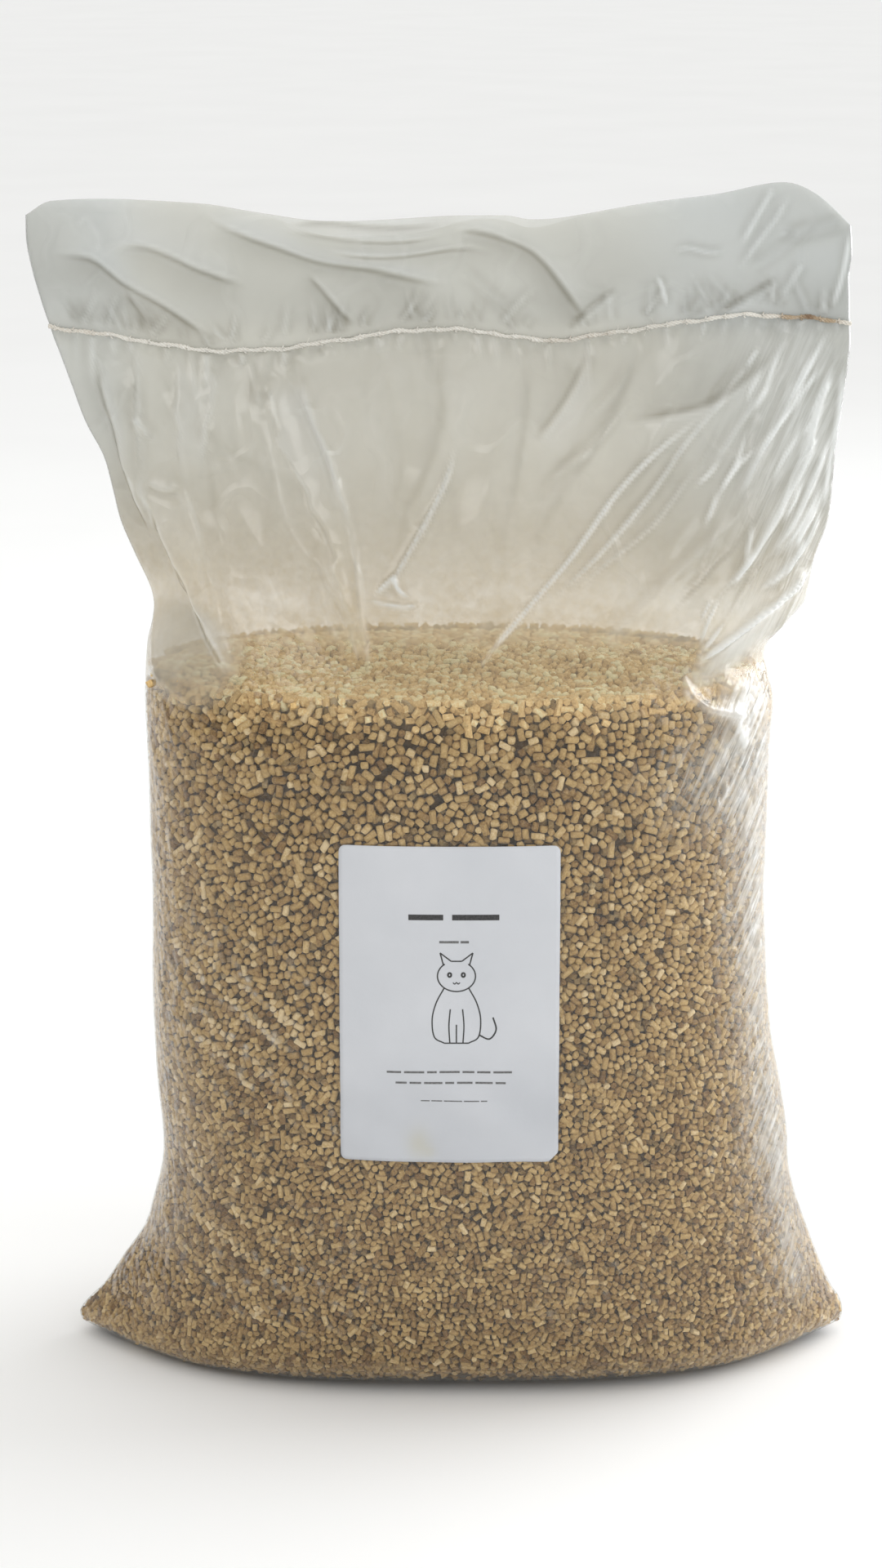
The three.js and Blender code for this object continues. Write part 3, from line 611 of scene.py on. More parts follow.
def film_material():
    m, nt, out = new_mat("film_clear")
    L = nt.links.new
    tc = node(nt, "ShaderNodeTexCoord")
    haze = node(nt, "ShaderNodeAttribute", attribute_name="haze").outputs["Fac"]
    glow = node(nt, "ShaderNodeAttribute", attribute_name="glint_paint").outputs["Fac"]
    cloud = node(nt, "ShaderNodeTexNoise", in_Scale=14.0, in_Detail=2.0, in_Roughness=0.6)
    L(tc.outputs["Object"], cloud.inputs["Vector"])
    vary = math_node(nt, "MULTIPLY_ADD", cloud.outputs["Fac"], 0.5)
    vary.node.inputs[2].default_value = 0.75
    dusty = node(nt, "ShaderNodeAttribute", attribute_name="dust").outputs["Fac"]
    op = math_node(nt, "MULTIPLY", haze, vary)
    sepx = node(nt, "ShaderNodeSeparateXYZ")
    L(tc.outputs["Object"], sepx.inputs[0])

    def lines(angle, along_, across, detail, seed_):
        """Noise drawn out along one direction of the front view."""
        c_, s_ = math.cos(math.radians(angle)), math.sin(math.radians(angle))
        u_ = math_node(nt, "ADD", math_node(nt, "MULTIPLY", sepx.outputs["X"], c_ * along_), math_node(nt, "MULTIPLY", sepx.outputs["Z"], s_ * along_))
        v_ = math_node(nt, "ADD", math_node(nt, "MULTIPLY", sepx.outputs["X"], -s_ * across), math_node(nt, "MULTIPLY", sepx.outputs["Z"], c_ * across))
        v_ = math_node(nt, "ADD", v_, math_node(nt, "MULTIPLY", sepx.outputs["Y"], 0.12 * across))
        comb = node(nt, "ShaderNodeCombineXYZ", in_Z=seed_)
        L(u_, comb.inputs[0])
        L(v_, comb.inputs[1])
        nz_ = node(nt, "ShaderNodeTexNoise", in_Scale=1.0, in_Detail=detail, in_Roughness=0.55)
        L(comb.outputs[0], nz_.inputs["Vector"])
        return nz_.outputs["Fac"]

    def ridged(fac, k):
        """Thin lines where the noise crosses its middle."""
        return math_node(nt, "SUBTRACT", 1.0, math_node(nt, "MULTIPLY", math_node(nt, "ABSOLUTE", math_node(nt, "SUBTRACT", fac, 0.5)), k), clamp=True)

    wrinkle_glare_m = node(nt, "ShaderNodeAttribute", attribute_name="wrinkle_glare").outputs["Fac"]
    bead_glint_rows_m = node(nt, "ShaderNodeAttribute", attribute_name="bead_glint_rows").outputs["Fac"]
    lin_r = lines(66, 26, 330, 2.0, 1.7)

    def rows(angle, pitch, warp, sharp):
        """Nearly parallel ridges across one direction, spaced by pitch."""
        c_, s_ = math.cos(math.radians(angle)), math.sin(math.radians(angle))
        k_ = 2 * math.pi / pitch
        v_ = math_node(nt, "ADD", math_node(nt, "MULTIPLY", sepx.outputs["X"], -s_ * k_), math_node(nt, "MULTIPLY", sepx.outputs["Z"], c_ * k_))
        v_ = math_node(nt, "ADD", v_, math_node(nt, "MULTIPLY", sepx.outputs["Y"], 0.12 * k_))
        v_ = math_node(nt, "ADD", v_, math_node(nt, "MULTIPLY", cloud.outputs["Fac"], warp))
        w_ = math_node(nt, "MULTIPLY_ADD", math_node(nt, "SINE", v_), 0.5)
        w_.node.inputs[2].default_value = 0.5
        return math_node(nt, "POWER", w_, sharp)

    gate = math_node(nt, "MULTIPLY", math_node(nt, "SUBTRACT", lin_r, 0.22, clamp=True), 3.2, clamp=True)
    gate_l = math_node(nt, "MULTIPLY", math_node(nt, "SUBTRACT", cloud.outputs["Fac"], 0.36, clamp=True), 6.0, clamp=True)
    row_r = math_node(nt, "MULTIPLY", math_node(nt, "ADD", math_node(nt, "MULTIPLY", rows(66, 0.0052, 26.0, 2.0), 0.42), math_node(nt, "MULTIPLY", ridged(lin_r, 7.0), 0.75)), gate)
    rid_r = math_node(nt, "MULTIPLY", row_r, wrinkle_glare_m)
    rid_l = math_node(nt, "MULTIPLY", math_node(nt, "MULTIPLY", rows(-42, 0.0125, 9.0, 3.0), gate_l), bead_glint_rows_m)
    # fine bump: the film takes the pellets' lumps where it lies on them, and light crinkles elsewhere, which also get a
    # faint painted highlight
    lumps = node(nt, "ShaderNodeTexVoronoi", in_Scale=210.0, feature="F1")
    L(tc.outputs["Object"], lumps.inputs["Vector"])
    broad = node(nt, "ShaderNodeTexNoise", in_Scale=18.0, in_Detail=3.0, in_Roughness=0.55)
    L(tc.outputs["Object"], broad.inputs["Vector"])
    free = math_node(nt, "MULTIPLY", math_node(nt, "SUBTRACT", haze, 0.22, clamp=True), 3.6, clamp=True)
    crease_n = node(nt, "ShaderNodeTexNoise", in_Scale=19.0, in_Detail=2.0, in_Roughness=0.5)
    L(tc.outputs["Object"], crease_n.inputs["Vector"])
    crease = math_node(nt, "MULTIPLY", ridged(crease_n.outputs["Fac"], 22.0), free)
    fine_w = lines(70, 9, 60, 1.0, 8.3)
    near_ = math_node(nt, "SUBTRACT", 1.0, free, clamp=True)
    # over the pellets a ridge shows only on the lumps, as a row of painted glints
    bead = math_node(nt, "MULTIPLY", math_node(nt, "SUBTRACT", 0.62, lumps.outputs["Distance"], clamp=True), 2.4, clamp=True)
    bead = math_node(nt, "MAXIMUM", bead, free)
    # painted glare: ridges along the right edge, bead rows on the lower left and an even glare along the right edge,
    # added to the painted highlight; it also makes the film more opaque
    extra = math_node(nt, "ADD", math_node(nt, "MULTIPLY", rid_r, 0.62), math_node(nt, "MULTIPLY", math_node(nt, "MULTIPLY", rid_l, bead), 0.55))
    extra = math_node(nt, "ADD", extra, math_node(nt, "MULTIPLY", math_node(nt, "MULTIPLY", wrinkle_glare_m, wrinkle_glare_m), 0.30))
    glow = math_node(nt, "ADD", glow, math_node(nt, "ADD", extra, math_node(nt, "MULTIPLY", crease, 0.07)), clamp=True)
    op = math_node(nt, "ADD", op, math_node(nt, "MULTIPLY", glow, math_node(nt, "MAXIMUM", bead, wrinkle_glare_m)), clamp=True)
    patchy = math_node(nt, "MULTIPLY", math_node(nt, "MULTIPLY", math_node(nt, "SUBTRACT", 0.42, lumps.outputs["Distance"]), dusty), 0.55)
    op = math_node(nt, "ADD", op, math_node(nt, "MULTIPLY", patchy, haze), clamp=True)
    b1 = math_node(nt, "MULTIPLY", math_node(nt, "MULTIPLY", lumps.outputs["Distance"], -0.9), near_)
    b3 = math_node(nt, "MULTIPLY", broad.outputs["Fac"], 2.2)
    height = math_node(nt, "ADD", b1, b3)
    height = math_node(nt, "ADD", height, math_node(nt, "MULTIPLY", math_node(nt, "ADD", rid_r, rid_l), 0.55))
    height = math_node(nt, "ADD", height, math_node(nt, "MULTIPLY", crease, 0.5))
    height = math_node(nt, "ADD", height, math_node(nt, "MULTIPLY", math_node(nt, "MULTIPLY", fine_w, free), 2.2))
    bump = node(nt, "ShaderNodeBump", in_Strength=0.55, in_Distance=0.0012)
    L(height, bump.inputs["Height"])
    mixc = node(nt, "ShaderNodeMix", data_type="RGBA")
    tone_shade_node = node(nt, "ShaderNodeAttribute", attribute_name="tone_and_shade").outputs["Fac"]
    # film colour from its tone and the painted shade of the folds and the lower head space
    plain_col = ramp(nt, tone_shade_node, [(0.0, (0.36, 0.34, 0.275)), (0.5, (0.62, 0.61, 0.545)), (1.0, (0.76, 0.775, 0.77))])
    mixd = node(nt, "ShaderNodeMix", data_type="RGBA")
    L(plain_col, mixd.inputs[6])
    mixd.inputs[7].default_value = (0.69, 0.585, 0.41, 1)
    L(dusty, mixd.inputs[0])
    chill = node(nt, "ShaderNodeMix", data_type="RGBA", blend_type="MULTIPLY")
    L(node(nt, "ShaderNodeAttribute", attribute_name="cool").outputs["Fac"], chill.inputs[0])
    L(mixd.outputs[2], chill.inputs[6])
    chill.inputs[7].default_value = (0.93, 0.975, 1.06, 1)
    L(chill.outputs[2], mixc.inputs[6])
    # painted highlight colours: warm over the pellets, pale where the film stands free or on the right edge
    glint = node(nt, "ShaderNodeMix", data_type="RGBA")
    L(math_node(nt, "MAXIMUM", free, wrinkle_glare_m), glint.inputs[0])
    glint.inputs[6].default_value = (0.90, 0.82, 0.70, 1)
    glint.inputs[7].default_value = (0.93, 0.95, 0.94, 1)
    L(glint.outputs[2], mixc.inputs[7])
    L(glow, mixc.inputs[0])
    diff = node(nt, "ShaderNodeBsdfDiffuse")
    tran = node(nt, "ShaderNodeBsdfTranslucent")
    for n in (diff, tran):
        L(mixc.outputs[2], n.inputs["Color"])
        L(bump.outputs[0], n.inputs["Normal"])
    haze_bsdf = node(nt, "ShaderNodeMixShader", in_Fac=0.42)
    L(diff.outputs[0], haze_bsdf.inputs[1])
    L(tran.outputs[0], haze_bsdf.inputs[2])
    clear = node(nt, "ShaderNodeBsdfTransparent")
    clear.inputs["Color"].default_value = (0.965, 0.965, 0.955, 1)
    body_ = node(nt, "ShaderNodeMixShader")
    L(op, body_.inputs[0])
    L(clear.outputs[0], body_.inputs[1])
    L(haze_bsdf.outputs[0], body_.inputs[2])
    gloss = node(nt, "ShaderNodeBsdfGlossy", in_Roughness=0.14)
    gloss.inputs["Color"].default_value = (1, 1, 1, 1)
    L(bump.outputs[0], gloss.inputs["Normal"])
    lw = node(nt, "ShaderNodeLayerWeight", in_Blend=0.5)
    L(bump.outputs[0], lw.inputs["Normal"])
    f = math_node(nt, "POWER", lw.outputs["Facing"], 3.4)
    f = math_node(nt, "MULTIPLY_ADD", f, 0.66)
    f.node.inputs[2].default_value = 0.042
    top = node(nt, "ShaderNodeMixShader")
    L(f, top.inputs[0])
    L(body_.outputs[0], top.inputs[1])
    L(gloss.outputs[0], top.inputs[2])
    L(top.outputs[0], out.inputs[0])
    return m


def pellet_material(name, light_level=1.0, lift=(1.0, 1.0, 1.0)):
    m, nt, out = new_mat(name)
    L = nt.links.new
    tc = node(nt, "ShaderNodeTexCoord")
    tint_and_light = node(nt, "ShaderNodeAttribute", attribute_name="tint_and_light").outputs["Fac"]
    grain = node(nt, "ShaderNodeTexNoise", in_Scale=900.0, in_Detail=1.0, in_Roughness=0.7)
    L(tc.outputs["Object"], grain.inputs["Vector"])
    patch = node(nt, "ShaderNodeTexNoise", in_Scale=160.0, in_Detail=0.0)
    L(tc.outputs["Object"], patch.inputs["Vector"])
    v = math_node(nt, "ADD", tint_and_light, math_node(nt, "MULTIPLY", math_node(nt, "SUBTRACT", grain.outputs["Fac"], 0.5), 0.75))
    v = math_node(nt, "ADD", v, math_node(nt, "MULTIPLY", math_node(nt, "SUBTRACT", patch.outputs["Fac"], 0.5), 0.35), clamp=True)
    stops = [(0.0, (0.19, 0.10, 0.03)), (0.35, (0.405, 0.255, 0.094)), (0.7, (0.58, 0.40, 0.172)), (1.0, (0.76, 0.59, 0.345))]
    # the straw colours scaled for painted light or painted shade, and tinted for the lit copy
    col = ramp(nt, v, [(at_, tuple(min(0.95, c_ * light_level * f_) for c_, f_ in zip(rgb_, lift))) for at_, rgb_ in stops])
    p = node(nt, "ShaderNodeBsdfPrincipled", in_Roughness=0.72)
    p.inputs["Specular IOR Level"].default_value = 0.25
    L(col, p.inputs["Base Color"])
    bump = node(nt, "ShaderNodeBump", in_Strength=0.5, in_Distance=0.0005)
    L(grain.outputs["Fac"], bump.inputs["Height"])
    L(bump.outputs[0], p.inputs["Normal"])
    L(p.outputs[0], out.inputs[0])
    return m


def core_shade_material():
    m, nt, out = new_mat("pellet_bulk_painted_shade")
    L = nt.links.new
    tc = node(nt, "ShaderNodeTexCoord")
    vor = node(nt, "ShaderNodeTexVoronoi", in_Scale=230.0)
    L(tc.outputs["Object"], vor.inputs["Vector"])
    # painted shade: very dark browns, darkest towards the cell edges like shaded gaps
    col = ramp(nt, vor.outputs["Distance"], [(0.0, (0.17, 0.105, 0.045)), (0.45, (0.10, 0.06, 0.025)), (1.0, (0.04, 0.024, 0.01))])
    p = node(nt, "ShaderNodeBsdfPrincipled", in_Roughness=0.9)
    p.inputs["Specular IOR Level"].default_value = 0.1
    L(col, p.inputs["Base Color"])
    bump = node(nt, "ShaderNodeBump", in_Strength=1.0, in_Distance=0.002)
    bump.invert = True
    L(vor.outputs["Distance"], bump.inputs["Height"])
    L(bump.outputs[0], p.inputs["Normal"])
    L(p.outputs[0], out.inputs[0])
    return m


def paper_material():
    m, nt, out = new_mat("label_paper")
    L = nt.links.new
    tc = node(nt, "ShaderNodeTexCoord")
    fib = node(nt, "ShaderNodeTexNoise", in_Scale=420.0, in_Detail=4.0)
    L(tc.outputs["Object"], fib.inputs["Vector"])
    blot = node(nt, "ShaderNodeTexNoise", in_Scale=22.0, in_Detail=3.0)
    L(tc.outputs["Object"], blot.inputs["Vector"])
    stain = node(nt, "ShaderNodeAttribute", attribute_name="stain").outputs["Fac"]
    col = ramp(nt, blot.outputs["Fac"], [(0.3, (0.555, 0.57, 0.60)), (0.7, (0.605, 0.617, 0.645))])
    mix = node(nt, "ShaderNodeMix", data_type="RGBA")
    L(stain, mix.inputs[0])
    L(col, mix.inputs[6])
    mix.inputs[7].default_value = (0.56, 0.53, 0.40, 1)
    # painted shade: the lower part of the sticker is darkened
    shade_low_mix = node(nt, "ShaderNodeMix", data_type="RGBA", blend_type="MULTIPLY")
    L(node(nt, "ShaderNodeAttribute", attribute_name="label_low_shade").outputs["Fac"], shade_low_mix.inputs[0])
    L(mix.outputs[2], shade_low_mix.inputs[6])
    shade_low_mix.inputs[7].default_value = (0.885, 0.888, 0.893, 1)
    p = node(nt, "ShaderNodeBsdfPrincipled", in_Roughness=0.5)
    p.inputs["Specular IOR Level"].default_value = 0.35
    L(shade_low_mix.outputs[2], p.inputs["Base Color"])
    bump = node(nt, "ShaderNodeBump", in_Strength=0.25, in_Distance=0.0003)
    L(fib.outputs["Fac"], bump.inputs["Height"])
    L(bump.outputs[0], p.inputs["Normal"])
    L(p.outputs[0], out.inputs[0])
    return m


def ink_material(name, shade):
    m, nt, out = new_mat(name)
    L = nt.links.new
    tc = node(nt, "ShaderNodeTexCoord")
    grain = node(nt, "ShaderNodeTexNoise", in_Scale=1500.0, in_Detail=2.0)
    L(tc.outputs["Object"], grain.inputs["Vector"])
    col = ramp(nt, grain.outputs["Fac"], [(0.35, (shade * 0.8,) * 3), (0.7, (shade * 1.5 + 0.01,) * 3)])
    p = node(nt, "ShaderNodeBsdfPrincipled", in_Roughness=0.6)
    L(col, p.inputs["Base Color"])
    L(p.outputs[0], out.inputs[0])
    return m


def thread_material():
    m, nt, out = new_mat("thread_spun")
    L = nt.links.new
    tc = node(nt, "ShaderNodeTexCoord")
    stain = node(nt, "ShaderNodeAttribute", attribute_name="stain").outputs["Fac"]
    fib = node(nt, "ShaderNodeTexNoise", in_Scale=1400.0, in_Detail=3.0)
    L(tc.outputs["Object"], fib.inputs["Vector"])
    v = math_node(nt, "MULTIPLY_ADD", math_node(nt, "SUBTRACT", fib.outputs["Fac"], 0.5), 0.6)
    L(stain, v.node.inputs[2])
    col = ramp(nt, v, [(0.0, (0.80, 0.785, 0.73)), (0.5, (0.46, 0.36, 0.25)), (1.0, (0.24, 0.16, 0.10))])
    p = node(nt, "ShaderNodeBsdfPrincipled", in_Roughness=0.9)
    p.inputs["Specular IOR Level"].default_value = 0.15
    L(col, p.inputs["Base Color"])
    bump = node(nt, "ShaderNodeBump", in_Strength=0.5, in_Distance=0.0002)
    L(fib.outputs["Fac"], bump.inputs["Height"])
    L(bump.outputs[0], p.inputs["Normal"])
    L(p.outputs[0], out.inputs[0])
    return m


M_FILM, M_PEL, M_CORE_SHADE = film_material(), pellet_material("pellet_straw"), core_shade_material()
# painted shade: a darker copy of the straw for the deep layer; painted light: a brighter, cooler copy for the top of
# the fill
M_DEEP_SHADED = pellet_material("pellet_straw_deep_shaded", 0.6)
M_TOP_LIT = pellet_material("pellet_straw_top_lit", 1.44, (1.0, 1.03, 1.13))
M_PAPER, M_THREAD = paper_material(), thread_material()
M_INK, M_INK2 = ink_material("print_black", 0.03), ink_material("print_grey", 0.12)

# ------------------------------------------------------------------------------------------------
# film object
# ------------------------------------------------------------------------------------------------
film_n = grid_normals(film)
film_n[0] = film_n[1]
if film_n[60, COLS // 2, 1] > 0:
    film_n = -film_n
FILM_ATTR = {"haze": hz, "glint_paint": glint_paint, "dust": dust, "tone_and_shade": 0.5 + 0.35 * shade, "cool": cool, "wrinkle_glare": wrinkle_glare, "bead_glint_rows": bead_glint_rows}
for name_, cols_ in (("film_front", np.arange(0, COLS + 1)), ("film_back", np.append(np.arange(COLS, RING, 2), 0))):
    g = np.arange(NROW * len(cols_)).reshape(NROW, len(cols_))
    quads = np.stack([g[:-1, :-1], g[1:, :-1], g[1:, 1:], g[:-1, 1:]], -1).reshape(-1, 4)
    ob = make_mesh(name_, film[:, cols_].reshape(-1, 3), [quads], True,
                   {k_: v_[:, cols_].ravel() for k_, v_ in FILM_ATTR.items()})
    nn_ = film_n[:, cols_].reshape(-1, 3)
    ob.data.normals_split_custom_set_from_vertices([tuple(float(q_) for q_ in v_) for v_ in nn_])
    put(ob, "film_bag", M_FILM)

# ------------------------------------------------------------------------------------------------
# pellets
# ------------------------------------------------------------------------------------------------
PR = 1.82  # pellet radius


def pair_list(P, cell, size, periodic):
    lo = np.array([0.0, 0.0, -2.0])
    nx = max(1, int(size[0] // cell))
    cx = size[0] / nx if periodic else cell
    if not periodic:
        nx = int(size[0] // cell) + 2
    ny, nz = int(size[1] // cell) + 2, int((size[2] + 4) // cell) + 2
    ix = np.floor(P[:, 0] / cx).astype(int)
    ix = ix % nx if periodic else np.clip(ix, 0, nx - 1)
    iy = np.clip(np.floor(P[:, 1] / cell).astype(int), 0, ny - 1)
    iz = np.clip(np.floor((P[:, 2] - lo[2]) / cell).astype(int), 0, nz - 1)
    key = (ix * ny + iy) * nz + iz
    order = np.argsort(key, kind="stable")
    ks = key[order]
    first = np.searchsorted(ks, np.arange(nx * ny * nz))
    K = 7
    tab = np.full((nx * ny * nz + 1, K), -1)
    rank = np.arange(len(P)) - first[ks]
    ok = rank < K
    tab[ks[ok], rank[ok]] = order[ok]
    me_ = np.arange(len(P))
    I, J = [], []
    for dx in (0, 1, -1):
        for dy in (0, 1, -1):
            for dz in (0, 1, -1):
                if (dx, dy, dz) < (0, 0, 0):
                    continue
                jx = (ix + dx) % nx if periodic else ix + dx
                jy, jz = iy + dy, iz + dz
                bad = (jx < 0) | (jx >= nx) | (jy < 0) | (jy >= ny) | (jz < 0) | (jz >= nz)
                k2 = np.where(bad, nx * ny * nz, (jx * ny + jy) * nz + jz)
                nb = tab[k2]
                ii = np.repeat(me_, K)
                jj = nb.ravel()
                keep = jj >= 0
                if dx == 0 and dy == 0 and dz == 0:
                    keep &= jj > ii
                ii, jj = ii[keep], jj[keep]
                keep = (ii >> 1) != (jj >> 1)
                I.append(ii[keep])
                J.append(jj[keep])
    return np.concatenate(I), np.concatenate(J)


def settle(count, size, radius_of, periodic, seed, press=0.10, iters=48, flat=0.55):
    """Rods of two spheres each, relaxed against each other and pressed on the wall at depth 0.
    radius_of(v) is the rod radius at height v; the layer is two rods deep."""
    r = np.random.default_rng(seed)
    vs = np.linspace(0, size[1], 400)
    w = np.cumsum(1 / radius_of(vs) ** 2)
    yv = np.interp(r.uniform(w[0], w[-1], count), w, vs)
    pr = radius_of(yv) * np.clip(r.normal(1, 0.05, count), 0.86, 1.14)
    depth = 3.75 * pr
    C = np.stack([r.uniform(0, size[0], count), yv, pr + r.uniform(0, 1, count) * (depth - 2 * pr)], 1)
    sr = np.repeat(pr, 2)
    sdepth = np.repeat(depth, 2)
    th = r.uniform(0, 2 * np.pi, count)
    el = r.normal(0, flat, count)
    U = np.stack([np.cos(th) * np.cos(el), np.sin(th) * np.cos(el), np.sin(el)], 1)
    length = np.clip(r.gamma(8.0, 0.63, count), 3.0, 9.5) * pr / 1.82
    half = np.maximum(length / 2 - 0.62 * pr, 0.12)
    P = np.empty((2 * count, 3))
    P[0::2], P[1::2] = C - U * half[:, None], C + U * half[:, None]
    I = J = None
    for it in range(iters):
        if it % 6 == 0:
            I, J = pair_list(P, 4.7, (size[0], size[1], depth.max()), periodic)
        dv = P[J] - P[I]
        if periodic:
            dv[:, 0] -= size[0] * np.round(dv[:, 0] / size[0])
        dist = np.linalg.norm(dv, axis=1)
        reach = sr[I] + sr[J]
        hit = dist < reach
        i, j, q, dd = I[hit], J[hit], dv[hit], np.maximum(dist[hit], 1e-6)
        corr = q * (0.36 * (reach[hit] - dd) / dd)[:, None]
        for k in range(3):
            P[:, k] += np.bincount(j, corr[:, k], len(P)) - np.bincount(i, corr[:, k], len(P))
        e = P[1::2] - P[0::2]
        ln = np.linalg.norm(e, axis=1)
        fix = e * ((ln - 2 * half) / np.maximum(ln, 1e-6) / 2)[:, None]
        P[0::2] += fix
        P[1::2] -= fix
        P[:, 2] -= press
        P[:, 2] = np.clip(P[:, 2], sr * 1.02, sdepth)
        P[:, 1] = np.clip(P[:, 1], sr, size[1] - sr)
        if not periodic:
            P[:, 0] = np.clip(P[:, 0], sr, size[0] - sr)
    C = (P[0::2] + P[1::2]) / 2
    U = P[1::2] - P[0::2]
    U /= np.linalg.norm(U, axis=1, keepdims=True)
    return C, U, length, pr


def hex_pellets(name, C, U, length, rad, tint_and_light, bevel, mat, groups=1, K=6):
    """Short six-sided rods with slightly skewed ends; bevel adds a ring that rounds each end."""
    n = len(C)
    if n == 0:
        return
    r = np.random.default_rng(len(C) + 5)
    ref = np.where(np.abs(U[:, 2:3]) < 0.9, np.array([[0, 0, 1.0]]), np.array([[1.0, 0, 0]]))
    A = np.cross(U, ref)
    A /= np.linalg.norm(A, axis=1, keepdims=True)
    B = np.cross(U, A)
    ph = r.uniform(0, 2 * np.pi, (n, 1)) + np.arange(K)[None] * 2 * np.pi / K
    wob_ = 1 + r.normal(0, 0.035, (n, K))
    cosp, sinp = np.cos(ph) * wob_, np.sin(ph) * wob_
    skew = r.normal(0, 0.16, (n, 2, 2))
    rings = []
    bev = 0.40 if bevel else 0.0
    specs = [(-1, 0.76, 0.0), (-1, 1.0, bev), (1, 1.0, bev), (1, 0.76, 0.0)] if bevel else [
        (-1, 1.0, 0.0), (1, 1.0, 0.0)]
    for end, k, inset_ in specs:
        e = 0 if end < 0 else 1
        lx, ly = cosp * k * rad[:, None], sinp * k * rad[:, None]
        lz = end * (length[:, None] / 2 - inset_) + skew[:, e, 0:1] * lx + skew[:, e, 1:2] * ly
        pts = C[:, None] + A[:, None] * lx[..., None] + B[:, None] * ly[..., None] + U[:, None] * lz[..., None]
        rings.append(pts)
    V = np.stack(rings, 1)  # n, R, K, 3
    R = V.shape[1]
    parts = np.array_split(np.arange(n), groups)
    for g, part in enumerate(parts):
        m = len(part)
        vid = np.arange(m * R * K).reshape(m, R, K)
        q = []
        for a_ in range(R - 1):
            p0, p1 = vid[:, a_], vid[:, a_ + 1]
            q.append(np.stack([p0, np.roll(p0, -1, 1), np.roll(p1, -1, 1), p1], -1).reshape(-1, 4))
        caps = [vid[:, 0, ::-1].reshape(-1, K), vid[:, R - 1].reshape(-1, K)]
        ob = make_mesh(f"{name}_{g + 1}", V[part].reshape(-1, 3), [np.concatenate(q), np.concatenate(caps)], True,
                       {"tint_and_light": np.repeat(tint_and_light[part], R * K)}, sharp=66)
        COUNT[0] += m * (2 * K * (R - 1) + 2 * (K - 2))
        put(ob, "pellet_fill", mat)


COUNT = [0]
# wall rows of the smooth bag, from the weld line under the base up to the fill level
j_top = int(np.argmax(H_OF > FILL_LEVEL + 2))
wallP, wallN = base[:j_top + 1], NORM[:j_top + 1]
mid_col = COLS // 2
step_v = np.linalg.norm(np.diff(wallP[:, mid_col], axis=0), axis=1)
VCUM = np.concatenate([[0], np.cumsum(step_v)])
WALL_H, WALL_W = VCUM[-1], 2 * 386.0
# finer pellets have sifted down: radius by height along the wall
V0 = VCUM[5]  # where the wall leaves the floor


def wall_radius(v):
    return np.interp(v - V0, [-60, 0, 60, 140, 230, 300, 345], [1.45, 1.45, 1.5, 1.6, 1.74, 1.88, 1.92])


vs_ = np.linspace(0, WALL_H, 300)
N_WALL = int((0.262 / wall_radius(vs_) ** 2).mean() * WALL_W * WALL_H)
iters = 54
Cw, Uw, Lw, Rw = settle(N_WALL, (WALL_W, WALL_H), wall_radius, True, 3, iters=iters)


def bilerp(G, fi, fj):
    """G rows x ring x 3, fi ring position, fj row position."""
    i0 = np.floor(fi).astype(int)
    ti = (fi - i0)[:, None]
    i0 %= RING
    i1 = (i0 + 1) % RING
    j0 = np.clip(np.floor(fj).astype(int), 0, G.shape[0] - 2)
    tj = (fj - j0)[:, None]
    return (G[j0, i0] * (1 - ti) + G[j0, i1] * ti) * (1 - tj) + (G[j0 + 1, i0] * (1 - ti) + G[j0 + 1, i1] * ti) * tj


SKIN_GAP = 0.35


def to_wall(C, U):
    fi = C[:, 0] / WALL_W * RING
    fj = np.interp(C[:, 1], VCUM, np.arange(len(VCUM)))
    P0, N0 = bilerp(wallP, fi, fj), bilerp(wallN, fi, fj)
    N0 /= np.linalg.norm(N0, axis=1, keepdims=True)
    e = 0.6
    Ts = bilerp(wallP, fi + e, fj) - bilerp(wallP, fi - e, fj)
    fj2 = np.clip(fj + 0.2, 0, len(VCUM) - 1.001)
    fj1 = np.clip(fj - 0.2, 0, len(VCUM) - 1.001)
    Tv = bilerp(wallP, fi, fj2) - bilerp(wallP, fi, fj1)
    Ts -= N0 * (Ts * N0).sum(1, keepdims=True)
    Ts /= np.maximum(np.linalg.norm(Ts, axis=1, keepdims=True), 1e-9)
    Tv -= N0 * (Tv * N0).sum(1, keepdims=True)
    Tv /= np.maximum(np.linalg.norm(Tv, axis=1, keepdims=True), 1e-9)
    W = P0 - N0 * (C[:, 2:3] + SKIN_GAP)
    D3 = Ts * U[:, 0:1] + Tv * U[:, 1:2] - N0 * U[:, 2:3]
    D3 /= np.maximum(np.linalg.norm(D3, axis=1, keepdims=True), 1e-9)
    return W, D3, fi, fj


W, D3, fi, fj = to_wall(Cw, Uw)
# drop the pellets that the thin ears have no room for
opp = wallP[:, mirror]
thick = np.linalg.norm(wallP - opp, axis=2)
# half depth of every row on a 1 mm lattice in x, to keep each pellet inside the section it ends up in
DX = np.arange(-200, 201.0)
DEEP = np.stack([np.interp(DX, wallP[j_, :COLS + 1][::-1, 0], -wallP[j_, :COLS + 1][::-1, 1], left=-9, right=-9) for j_ in range(len(wallP))])


def depth_at(x, fj_):
    fx = np.clip(x + 200, 0, 399.99)
    i_, j_ = np.floor(fx).astype(int), np.clip(np.floor(fj_).astype(int), 0, len(wallP) - 2)
    tx, tj_ = fx - i_, np.clip(fj_ - j_, 0, 1)
    return (DEEP[j_, i_] * (1 - tx) + DEEP[j_, i_ + 1] * tx) * (1 - tj_) + (DEEP[j_ + 1, i_] * (1 - tx) + DEEP[j_ + 1, i_ + 1] * tx) * tj_


